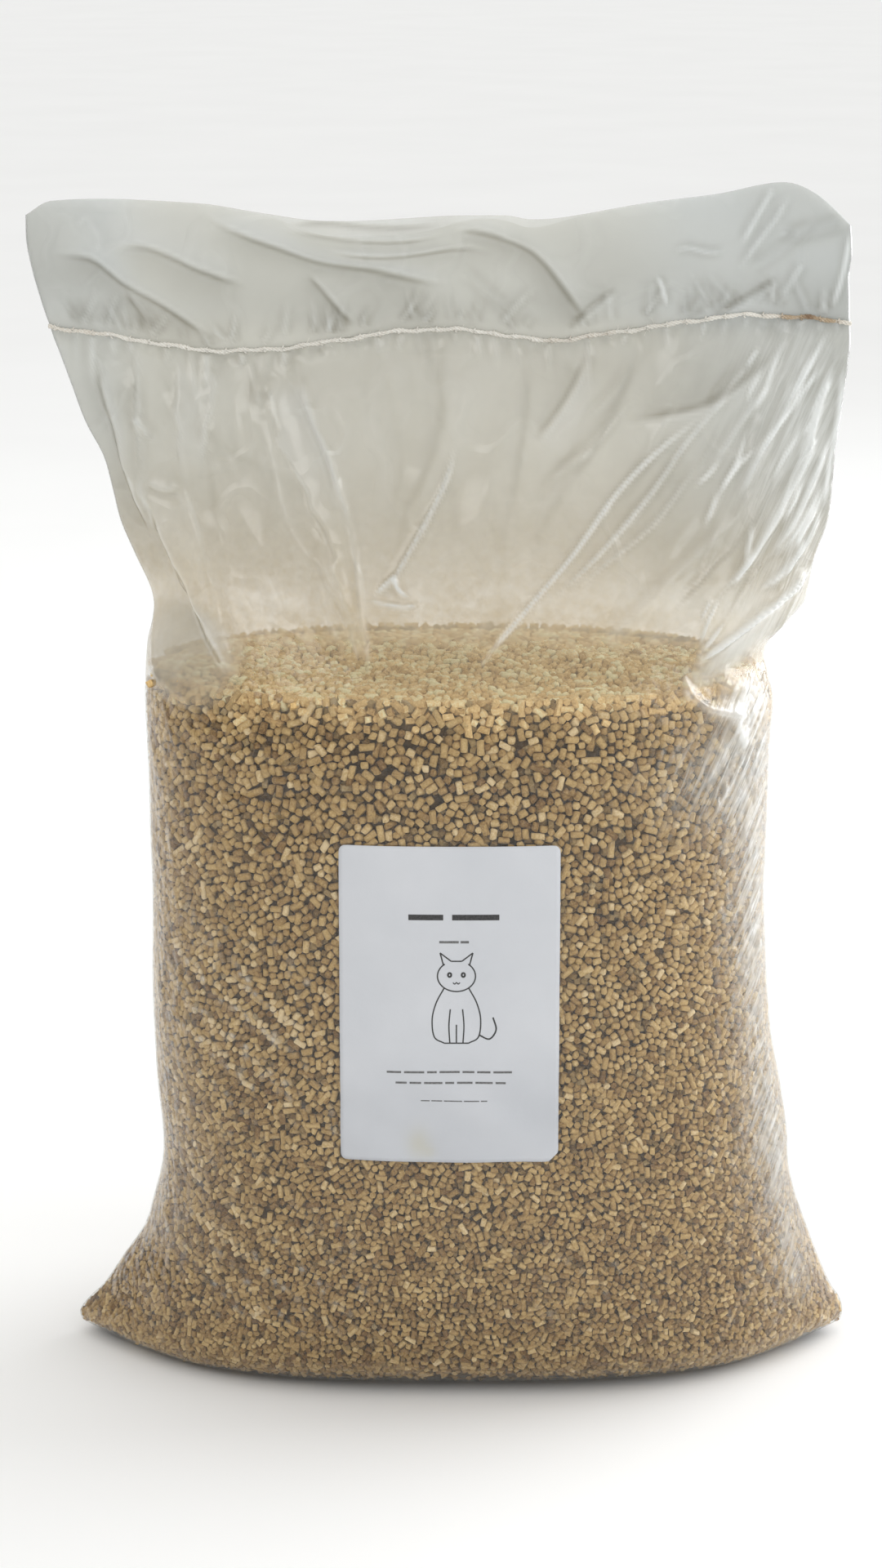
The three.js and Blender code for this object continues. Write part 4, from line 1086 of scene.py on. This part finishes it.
room = (depth_at(W[:, 0], fj) - np.abs(W[:, 1]) > Rw * 0.9) & (Cw[:, 2] < 0.6 * np.maximum(depth_at(W[:, 0], fj), 0) + 3.5)
near_base = fj < 5
room |= near_base
keep = room & (W[:, 2] < FILL_LEVEL + 1) & ~((np.abs(W[:, 0] - 3) > 138) & (W[:, 2] > 332))
W, D3, Lk, dk, fjk, radw = W[keep], D3[keep], Lw[keep], Cw[keep, 2], fj[keep], Rw[keep]
# pellet tints: random tone, with painted shade making them darker low down and painted light making them brighter near
# the fill level
tint_light_w = np.clip(rng.normal(0.50, 0.20, len(W)) - 0.13 * smooth((190 - W[:, 2]) / 160) + 0.22 * smooth((W[:, 2] - 322) / 14), 0, 1)
# along the film rows: painted highlights on the pellets under each row and painted shadows beside it
for row_ in ROWS[:8]:
    d_row, s_row, f_row = along(W[:, 0], W[:, 2], np.array(row_, float))
    env_row = smooth(f_row / 0.15) * smooth((1 - f_row) / 0.15) * (W[:, 1] < 0)
    tint_light_w += 0.55 * env_row * np.exp(-(d_row / 1.9) ** 2) - 0.38 * env_row * np.exp(-((d_row - 4.4) / 1.8) ** 2) * (s_row < 0)
tint_light_w = np.clip(tint_light_w, 0, 1)
outer_w = dk < 1.85 * radw
under = fjk < 5
crown = outer_w & (W[:, 2] > FILL_LEVEL - 13 + 11 * rng.random(len(W))) & (np.abs(W[:, 0] - 3) < 130)
fine = outer_w & ~under & (W[:, 1] < 5) & (W[:, 2] > 165)
front_low = outer_w & ~under & (W[:, 1] < 5) & (W[:, 2] <= 165)
rest_w = outer_w & ~fine & ~front_low & ~(under & (W[:, 2] > 6))
deep = ~outer_w & (dk < 3.1 * radw) & ~under
fine, rest_w = fine & ~crown, rest_w & ~crown
# crown pellets take the painted-light copy of the straw colour, deep ones the painted-shade copy, with their tints
# scaled down a little
for nm_, sel_, bev_, K_, mt_, k_ in (("pellets_crown", crown, False, 6, M_TOP_LIT, 0.8), ("pellets_front", fine, True, 6, M_PEL, 1.0), ("pellets_low", front_low, False, 6, M_PEL, 1.0),
                                     ("pellets_round", rest_w, False, 5, M_PEL, 1.0), ("pellets_deep", deep, False, 4, M_DEEP_SHADED, 0.9)):
    hex_pellets(nm_, W[sel_], D3[sel_], Lk[sel_] * 0.96, radw[sel_] * 0.95, tint_light_w[sel_] * k_, bev_, mt_, max(1, math.ceil(sel_.sum() * (44 if bev_ else 4 * K_ - 4) / 190000)), K_)

# top of the fill
ring_top = base[int(np.argmin(np.abs(H_OF - FILL_LEVEL)))]
tx0, tx1 = ring_top[:, 0].min(), ring_top[:, 0].max()
ty0, ty1 = ring_top[:, 1].min(), ring_top[:, 1].max()


def half_depth(x):
    f = ring_top[0:COLS + 1]
    return np.interp(x, f[::-1, 0], -f[::-1, 1])


def top_z(x, y):
    hdp = np.maximum(half_depth(x), 1.0)
    s = np.clip(1 - (y / hdp) ** 2, 0, 1)
    e = np.clip(np.minimum(x - tx0, tx1 - x) / 30, 0, 1)
    return FILL_LEVEL - 0.5 + s * e * (3.2 + 1.7 * np.sin(x / 23 + 0.4) + 1.3 * np.sin(y / 17 + x / 41) + 0.02 * y
                                       + 1.0 * np.sin(x / 7.7 + y / 9.1))


N_TOP = int((tx1 - tx0) * (ty1 - ty0) * 0.094)
Ct, Ut, Lt, Rt = settle(N_TOP, (tx1 - tx0, ty1 - ty0), lambda v: np.full(np.shape(v), 1.92), False, 5, press=0.08, iters=iters, flat=0.45)
xt, yt = Ct[:, 0] + tx0, Ct[:, 1] + ty0
inside_top = np.abs(yt) < half_depth(xt) - PR - 0.2
inside_top &= (xt > tx0 + 5) & (xt < tx1 - 5)
Wt = np.stack([xt, yt, top_z(xt, yt) - Ct[:, 2]], 1)[inside_top]
Dt = Ut[inside_top] * np.array([1, 1, -1.0])
dt = Ct[inside_top, 2]
Ltk = Lt[inside_top]
radt = Rt[inside_top]
# the top of the fill gets brighter tints as painted light; its deeper pellets are darkened to 0.7 as painted shade
tint_light_t = np.clip(rng.normal(0.74, 0.17, len(Wt)), 0, 1)
o = dt < 1.9 * PR
hex_pellets("pellets_top", Wt[o], Dt[o], Ltk[o], radt[o], tint_light_t[o], True, M_TOP_LIT, 1)
hex_pellets("pellets_top_deep", Wt[~o], Dt[~o], Ltk[~o], radt[~o], tint_light_t[~o] * 0.7, False, M_TOP_LIT, 1, 4)
print("pellet triangles", COUNT[0], "wall", len(W), "top", len(Wt))

# dark bulk behind the outer pellets: a sheet of painted shade for the inside of the fill
cols5 = np.arange(0, RING, 5)
cxm = (wallP[:, :, 0].max(1) + wallP[:, :, 0].min(1))[:, None] / 2
chw = (wallP[:, :, 0].max(1) - wallP[:, :, 0].min(1))[:, None] / 2
core_r = wall_radius(VCUM[:len(wallP)])[:, None]
core_x = cxm + (wallP[:, cols5, 0] - cxm) * (1 - 2.6 * core_r / chw)
core_d = np.stack([np.interp(core_x[j_], DX, DEEP[j_]) for j_ in range(len(wallP))])
core_y = np.where(np.arange(RING)[cols5][None, :] <= COLS, -1.0, 1.0) * np.maximum(core_d - 2.45 * core_r, 0)
core_y[:, (cols5 % COLS) == 0] = 0
coreP = np.stack([core_x, core_y, wallP[:, cols5, 2] + np.where(np.arange(len(wallP)) < 5, 5.0, 0)[:, None]], 2)
coreP[:, :, 2] = np.clip(coreP[:, :, 2], 5.0, FILL_LEVEL - 7.5)
KC = coreP.shape[1]
cid = np.arange(coreP.shape[0] * KC).reshape(coreP.shape[0], KC)
a, b = cid[:-1], np.roll(cid[:-1], -1, 1)
d, c = cid[1:], np.roll(cid[1:], -1, 1)
cq = np.stack([a, d, c, b], -1).reshape(-1, 4)
half = KC // 2
capq = []
topring = cid[-1]
for k in range(half):
    a_, b_ = topring[k], topring[k + 1]
    d_, c_ = topring[(KC - k) % KC], topring[(KC - k - 1) % KC]
    if len({a_, b_, c_, d_}) == 4:
        capq.append((a_, b_, c_, d_))
core_ob = make_mesh("pellet_bulk_core", coreP.reshape(-1, 3), [np.concatenate([cq, np.array(capq)])], True)
put(core_ob, "pellet_fill", M_CORE_SHADE)

# ------------------------------------------------------------------------------------------------
# label
# ------------------------------------------------------------------------------------------------
_label_rows = {}


def surface_row(z):
    z = round(float(z), 3)
    if z not in _label_rows:
        c_ = half_curve(z, 1.0, -1, 900)[::-1]  # left to right
        s = np.concatenate([[0], np.cumsum(np.linalg.norm(np.diff(c_[:, :2], axis=0), axis=1))])
        s0 = np.interp(LABEL_X, c_[:, 0], s)
        _label_rows[z] = (s - s0, c_)
    return _label_rows[z]


LV_ = np.linspace(-80, 80, 161)
LU_ = np.linspace(-56, 56, 113)
label_grid = np.zeros((len(LV_), len(LU_), 3))
for jj_, v_ in enumerate(LV_):
    s_, c_ = surface_row(LABEL_Z + v_)
    label_grid[jj_] = np.stack([np.interp(LU_, s_, c_[:, k]) for k in range(3)], 1)
gu = np.gradient(label_grid, axis=1)
gv = np.gradient(label_grid, axis=0)
label_n = np.cross(gu, gv)
label_n /= np.linalg.norm(label_n, axis=2, keepdims=True)
if label_n[80, 56, 1] > 0:
    label_n = -label_n


def label_wave(u, v):
    low = smooth((-v - 5) / 40)
    return (0.55 * low * np.sin(u / 7.5 + v / 12 + 0.6) * np.sin(v / 6.3 + u / 31) + 0.16 * np.sin(v / 9.5 + u / 14)
            * smooth((np.abs(u) - 18) / 30) + 0.10 * np.sin(u / 17 + 1) * np.sin(v / 23))


def on_label(u, v, off):
    """Point on the sticker, u right and v up from its centre."""
    u, v = np.asarray(u, float), np.asarray(v, float)
    fu, fv = np.clip(u + 56, 0, 111.999), np.clip(v + 80, 0, 159.999)
    i0, j0 = np.floor(fu).astype(int), np.floor(fv).astype(int)
    tu, tv = (fu - i0)[..., None], (fv - j0)[..., None]

    def lp(G):
        return (G[j0, i0] * (1 - tu) + G[j0, i0 + 1] * tu) * (1 - tv) + (G[j0 + 1, i0] * (1 - tu) + G[j0 + 1, i0 + 1] * tu) * tv

    return lp(label_grid) + lp(label_n) * (off + 0.55 + label_wave(u, v))[..., None]


def clip_corner(u, v):
    """Pulls the sheet's corners in to their rounded outline; the lower right one is clipped."""
    cu, cv = np.abs(u) - (LABEL_W / 2 - LABEL_R), np.abs(v) - (LABEL_H / 2 - LABEL_R)
    r_ = np.hypot(np.maximum(cu, 0), np.maximum(cv, 0))
    k = np.where((cu > 0) & (cv > 0) & (r_ > LABEL_R), LABEL_R / np.maximum(r_, 1e-9), 1.0)
    u2 = np.where((cu > 0) & (cv > 0), np.sign(u) * (LABEL_W / 2 - LABEL_R + cu * k), u)
    v2 = np.where((cu > 0) & (cv > 0), np.sign(v) * (LABEL_H / 2 - LABEL_R + cv * k), v)
    over = (u2 - v2) - (LABEL_W / 2 + LABEL_H / 2 - 4.5)
    u2 = u2 - np.where(over > 0, over / 2, 0)
    v2 = v2 + np.where(over > 0, over / 2, 0)
    return u2, v2


nu, nv = 51, 76
uu, vv = np.meshgrid(np.linspace(-50, 50, nu), np.linspace(-75, 75, nv))
uc, vc = clip_corner(uu, vv)
ptop = on_label(uc, vc, 0.12)
pbot = on_label(uc, vc, 0.0)
vid = np.arange(nu * nv).reshape(nv, nu)
a, b, c, d = vid[:-1, :-1], vid[:-1, 1:], vid[1:, 1:], vid[1:, :-1]
qt = np.stack([a, b, c, d], -1).reshape(-1, 4)
off_ = nu * nv
qb = np.stack([a, d, c, b], -1).reshape(-1, 4) + off_
loop_ = np.concatenate([vid[0, :-1], vid[:-1, -1], vid[-1, ::-1][:-1], vid[::-1, 0][:-1]])
nx_ = np.roll(loop_, -1)
qr = np.stack([loop_, loop_ + off_, nx_ + off_, nx_], -1)
stain = np.exp(-(((uc + 14) / 5) ** 2 + ((vc + 66) / 7) ** 2)) * 0.5 + np.exp(-(((uc + 9) / 3) ** 2 + ((vc + 70) / 3) ** 2)) * 0.3
# painted shade, darker towards the bottom of the sticker
label_low_shade = smooth((-vc - 15) / 45) * (0.75 + 0.25 * np.sin(uc / 9 + vc / 14))
label_ob = make_mesh("label_sticker", np.concatenate([ptop.reshape(-1, 3), pbot.reshape(-1, 3)]), [np.concatenate([qt, qb, qr])],
                     True, {"stain": np.tile(stain.ravel(), 2), "label_low_shade": np.tile(label_low_shade.ravel(), 2)})
put(label_ob, "paper_label", M_PAPER)


def ribbon(name, lines, mat, off=0.17):
    """lines: list of (points (n,2) in label mm, width) drawn as flat ribbons on the sticker."""
    V, F = [], []
    n0 = 0
    for pts, w in lines:
        p = np.asarray(pts, float)
        t_ = np.gradient(p, axis=0)
        t_ /= np.maximum(np.linalg.norm(t_, axis=1, keepdims=True), 1e-9)
        nrm_ = np.stack([-t_[:, 1], t_[:, 0]], 1)
        w = np.broadcast_to(np.asarray(w, float), (len(p),))[:, None] / 2
        for side in (-1, 0, 1):
            q = p + nrm_ * w * side
            V.append(on_label(q[:, 0], q[:, 1], off))
        m_ = len(p)
        for s_ in range(2):
            i_ = np.arange(m_ - 1)
            F.append(np.stack([n0 + s_ * m_ + i_, n0 + s_ * m_ + i_ + 1, n0 + (s_ + 1) * m_ + i_ + 1, n0 + (s_ + 1) * m_ + i_], -1))
        n0 += 3 * m_
    ob = make_mesh(name, np.concatenate(V), [np.concatenate(F)], True)
    put(ob, "paper_label", mat)


def seg(u0, v0, u1, v1, step=1.2):
    n = max(2, int(math.hypot(u1 - u0, v1 - v0) / step) + 1)
    return np.stack([np.linspace(u0, u1, n), np.linspace(v0, v1, n)], 1)


def curve(pts, n=10):
    return round_line(pts, n)


def ell(cx_, cy_, rx, ry, a0=0.0, a1=360.0, n=48):
    t_ = np.radians(np.linspace(a0, a1, n))
    return np.stack([cx_ + rx * np.cos(t_), cy_ + ry * np.sin(t_)], 1)


# plain word bars where the text stands
bars_black, bars_grey = [], []
for u0, u1 in ((-18.5, -2.8), (1.2, 22.5)):
    bars_black.append((seg(u0, 42.2, u1, 42.2), 2.6))
for u0, u1 in ((-4.6, 4.2), (5.0, 8.8)):
    bars_grey.append((seg(u0, 30.7, u1, 30.7), 1.1))


def word_line(v, u0, u1, w, seed_, dest, gap=1.3):
    r = np.random.default_rng(seed_)
    u = u0
    while u < u1 - 2:
        ln = min(r.uniform(3.5, 9.5), u1 - u)
        dest.append((seg(u, v, u + ln, v), w))
        u += ln + gap


word_line(-31.2, -28.5, 31.5, 1.0, 1, bars_grey)
word_line(-36.4, -24.5, 27.8, 1.0, 2, bars_grey)
word_line(-45.2, -13.0, 17.3, 0.55, 3, bars_grey, 0.8)
ribbon("label_title_bars", bars_black, M_INK)
ribbon("label_text_bars", bars_grey, M_INK2)
# a plain sitting cat in outline
SW = 0.62
cat = [
    (ell(4.0, 17.0, 8.6, 7.4, 128, 412, 60), SW),
    (seg(-1.9, 22.3, -3.4, 28.2), SW), (seg(-3.4, 28.2, 1.6, 24.2), SW), (seg(1.6, 24.2, 6.4, 24.2), SW),
    (seg(6.4, 24.2, 11.4, 28.2), SW), (seg(11.4, 28.2, 9.9, 22.3), SW),
    (curve([(-1.6, 11.2), (-5.2, 4.0), (-7.0, -4.0), (-6.0, -12.5), (-1.5, -15.5)]), SW),
    (curve([(9.6, 11.2), (13.2, 4.0), (15.0, -4.0), (14.0, -12.5), (9.5, -15.5)]), SW),
    (seg(-1.5, -15.5, 9.5, -15.5), SW),
    (curve([(1.2, 1.0), (0.6, -7.0), (1.0, -15.4)]), SW), (curve([(6.8, 1.0), (7.4, -7.0), (7.0, -15.4)]), SW),
    (seg(4.0, -6.5, 4.0, -15.4), SW),
    (curve([(14.2, -11.5), (19.0, -13.5), (22.0, -9.0), (20.6, -3.0)]), SW * 1.2),
    (ell(0.9, 17.6, 0.75, 0.95, 0, 360, 14), 0.9), (ell(7.1, 17.6, 0.75, 0.95, 0, 360, 14), 0.9),
    (curve([(2.4, 13.9), (3.2, 13.2), (4.0, 13.9), (4.8, 13.2), (5.6, 13.9)], 5), SW * 0.8),
]
cat = [(np.asarray(p_) * [1.0, 0.98] + [-0.8, -2.0], w_) for p_, w_ in cat]
ribbon("label_cat_outline", cat, M_INK)

# ------------------------------------------------------------------------------------------------
# closing threads
# ------------------------------------------------------------------------------------------------
j_seam = int(np.argmin(np.abs(H_OF - SEAM_Z)))


def seam_path(x, side):
    """Middle of a thread lying on the outside of one layer at the sewing line."""
    cols = np.arange(0, COLS + 1) if side < 0 else np.concatenate([[0], np.arange(RING - 1, COLS - 1, -1)])
    row = film[j_seam, cols]
    o_ = np.argsort(row[:, 0])
    y = np.interp(x, row[o_, 0], row[o_, 1])
    return np.stack([x, y, seam_z(x)], 1)


def tube(path, rad, K=6):
    """Rings round a path; rad may vary along it. Returns vertices and quads."""
    t_ = np.gradient(path, axis=0)
    t_ /= np.linalg.norm(t_, axis=1, keepdims=True)
    up_ = np.array([0, 0, 1.0])
    n1 = np.cross(t_, up_)
    bad = np.linalg.norm(n1, axis=1) < 0.2
    n1[bad] = np.cross(t_[bad], [0, 1.0, 0])
    n1 /= np.linalg.norm(n1, axis=1, keepdims=True)
    n2 = np.cross(t_, n1)
    ph = np.arange(K) * 2 * np.pi / K
    rad = np.broadcast_to(np.asarray(rad, float), (len(path),))
    V = path[:, None] + (n1[:, None] * np.cos(ph)[None, :, None] + n2[:, None] * np.sin(ph)[None, :, None]) * rad[:, None, None]
    m_ = len(path)
    v_ = np.arange(m_ * K).reshape(m_, K)
    a_, b_ = v_[:-1], np.roll(v_[:-1], -1, 1)
    d_, c_ = v_[1:], np.roll(v_[1:], -1, 1)
    return V.reshape(-1, 3), np.stack([a_, b_, c_, d_], -1).reshape(-1, 4), v_


def tubes_mesh(name, items, node_, mat):
    V, F, S, caps = [], [], [], []
    n0 = 0
    for path, rad, st in items:
        v_, q_, ids = tube(path, rad)
        V.append(v_)
        F.append(q_ + n0)
        caps += [ids[0][::-1] + n0, ids[-1] + n0]
        S.append(np.repeat(st, 6))
        n0 += len(v_)
    ob = make_mesh(name, np.concatenate(V), [np.concatenate(F), np.array(caps)], True, {"stain": np.concatenate(S)})
    put(ob, node_, mat)


rt = np.random.default_rng(21)
xs = np.arange(-184.6, 182.6, 0.5)
mid = seam_path(xs, -1)
wander = 0.35 * np.sin(xs / 5.1 + 1) + 0.25 * np.sin(xs / 2.3)
mid[:, 2] += wander
mid[:, 1] -= 1.25
fat = 1 + 0.16 * np.sin(xs * 2 * np.pi / 8.9) + 0.06 * np.sin(xs / 3.3 + 2)
stain_t = 0.95 * np.exp(-((xs - 163) / 13) ** 2) * (0.75 + 0.25 * np.sin(xs / 1.7)) + 0.05 + 0.08 * (np.sin(xs / 37) > 0.9)
items = []
for k in range(3):
    ph = 2 * np.pi * k / 3 + xs * 2 * np.pi / 5.6 + 0.5 * np.sin(xs / 11)
    p_ = mid.copy()
    p_[:, 1] += 0.46 * fat * np.cos(ph)
    p_[:, 2] += 0.54 * fat * np.sin(ph)
    items.append((p_, 0.50 * fat, stain_t))
# needle loops that come through and lock each stitch
for k in range(42):
    x0 = -182 + 8.75 * k
    s0 = seam_path(np.array([x0]), -1)[0]
    a_ = np.linspace(0, np.pi, 10)
    w_ = 1.15
    p_ = np.stack([x0 + 0.9 * np.cos(a_ * 2) * 0.4 + 0.5 * (a_ / np.pi - 0.5), s0[1] - 0.3 - 2.0 * np.sin(a_), s0[2] + w_ * np.cos(a_)], 1)
    st_ = np.full(10, float(np.interp(x0, xs, stain_t)))
    items.append((p_, 0.33, st_))
tubes_mesh("thread_looper", items, "looper_thread", M_THREAD)
# loose fibres
hair = []
for k in range(160):
    x0 = rt.uniform(-184, 183)
    s0 = seam_path(np.array([x0]), -1)[0] + [0, -1.4, rt.normal(0, 0.7)]
    t_ = np.linspace(0, 1, 5)[:, None]
    dr = np.array([rt.normal(0, 1), -abs(rt.normal(0, 0.5)), rt.normal(0, 1)])
    dr /= np.linalg.norm(dr)
    bend_ = np.array([rt.normal(0, 0.6), 0, rt.normal(0, 0.6)])
    hair.append((s0 + dr * t_ * rt.uniform(1.0, 2.6) + bend_ * t_ ** 2, 0.035, np.full(5, 0.05)))
tubes_mesh("thread_fuzz", hair, "looper_thread", M_THREAD)
# back: straight stitches that dip into the film at each hole
items = []
for k in range(42):
    x0, x1 = -184.5 + 8.75 * k, -184.5 + 8.75 * (k + 1)
    xx = np.linspace(x0 + 0.25, x1 - 0.25, 15)
    s_ = seam_path(xx, 1)
    f_ = (xx - x0) / (x1 - x0)
    lift_ = 0.15 + 0.75 * np.clip(np.sin(np.pi * f_), 0, 1) ** 0.35
    s_[:, 1] += lift_
    st_ = np.interp(xx, xs, stain_t)
    for q_ in range(2):
        ph = np.pi * q_ + xx * 2 * np.pi / 3.2
        p_ = s_.copy()
        p_[:, 1] += 0.22 * np.cos(ph)
        p_[:, 2] += 0.26 * np.sin(ph)
        items.append((p_, 0.34 * (0.75 + 0.25 * np.sin(np.pi * f_)), st_))
tubes_mesh("thread_needle", items, "needle_thread", M_THREAD)

# ------------------------------------------------------------------------------------------------
# floor, light, camera
# ------------------------------------------------------------------------------------------------
fm, nt, out = new_mat("floor_pale")
tc = node(nt, "ShaderNodeTexCoord")
nz = node(nt, "ShaderNodeTexNoise", in_Scale=3.0, in_Detail=3.0)
nt.links.new(tc.outputs["Object"], nz.inputs["Vector"])
colr = ramp(nt, nz.outputs["Fac"], [(0.3, (0.93, 0.93, 0.925)), (0.7, (0.95, 0.95, 0.945))])
pf = node(nt, "ShaderNodeBsdfPrincipled", in_Roughness=0.8)
pf.inputs["Specular IOR Level"].default_value = 0.1
nt.links.new(colr, pf.inputs["Base Color"])
nt.links.new(pf.outputs[0], out.inputs[0])
bpy.ops.mesh.primitive_plane_add(size=60)
floor = bpy.context.object
floor.name = "floor_plane"
floor.location = (0, 10, -0.0003)
floor.data.materials.append(fm)

world = bpy.data.worlds.new("studio")
scene.world = world
world.use_nodes = True
wt = world.node_tree
bg = wt.nodes["Background"]
wtc = wt.nodes.new("ShaderNodeTexCoord")
sep = wt.nodes.new("ShaderNodeSeparateXYZ")
wt.links.new(wtc.outputs["Generated"], sep.inputs[0])
side_ = math_node(wt, "MULTIPLY_ADD", sep.outputs["X"], 0.5)
side_.node.inputs[2].default_value = 0.5
sky = ramp(wt, side_, [(0.0, (0.52, 0.515, 0.50)), (0.5, (0.88, 0.88, 0.87)), (1.0, (1.10, 1.11, 1.12))])
# a pale wall behind the bag
far_ = math_node(wt, "MULTIPLY", math_node(wt, "SUBTRACT", sep.outputs["Y"], 0.72, clamp=True), 5.0, clamp=True)
wall = wt.nodes.new("ShaderNodeMix")
wall.data_type = "RGBA"
wt.links.new(far_, wall.inputs[0])
wt.links.new(sky, wall.inputs[6])
wall.inputs[7].default_value = (1.06, 1.06, 1.055, 1)
over = math_node(wt, "MULTIPLY_ADD", sep.outputs["Z"], 0.30, clamp=False)
over.node.inputs[2].default_value = 0.86
wt.links.new(wall.outputs[2], bg.inputs[0])
wt.links.new(over, bg.inputs[1])


def area(name, loc, target, sx, sy, watts, col=(1, 1, 1)):
    ld = bpy.data.lights.new(name, "AREA")
    ld.shape = "RECTANGLE"
    ld.size, ld.size_y = sx, sy
    ld.energy = watts
    ld.color = col
    ob = bpy.data.objects.new(name, ld)
    scene.collection.objects.link(ob)
    ob.location = loc
    import mathutils
    dvec = mathutils.Vector(target) - mathutils.Vector(loc)
    ob.rotation_euler = dvec.to_track_quat("-Z", "Y").to_euler()
    return ob


area("window_back_right", (1.75, 0.95, 0.9), (0.0, 0.0, 0.28), 1.9, 1.6, 34, (0.97, 0.985, 1.0))
area("window_right", (1.9, -0.7, 1.0), (0.0, 0.0, 0.3), 0.9, 1.3, 5, (0.97, 0.985, 1.0))
area("soft_front_left", (-1.5, -1.5, 2.2), (0.0, 0.0, 0.25), 1.3, 1.3, 9, (1.0, 0.985, 0.96))

cam_d = bpy.data.cameras.new("camera")
cam = bpy.data.objects.new("camera", cam_d)
scene.collection.objects.link(cam)
pitch = math.atan((714.5 - 279.5) / 1600.0)
cam.location = (-0.005, -1.6, 0.7145)
cam.rotation_euler = (math.pi / 2 - pitch, 0, 0)
cam_d.sensor_fit = "AUTO"
cam_d.sensor_width = 36.0
cam_d.lens = 36.0 * 4290.26 / 1920.0
cam_d.clip_end = 100
scene.camera = cam
scene.view_settings.view_transform = "Standard"
scene.view_settings.look = "None"
# enough light paths for film over pellets
scene.cycles.max_bounces = 5
scene.cycles.diffuse_bounces = 2
scene.cycles.glossy_bounces = 1
scene.cycles.transmission_bounces = 2
scene.cycles.caustics_reflective = False
scene.cycles.caustics_refractive = False
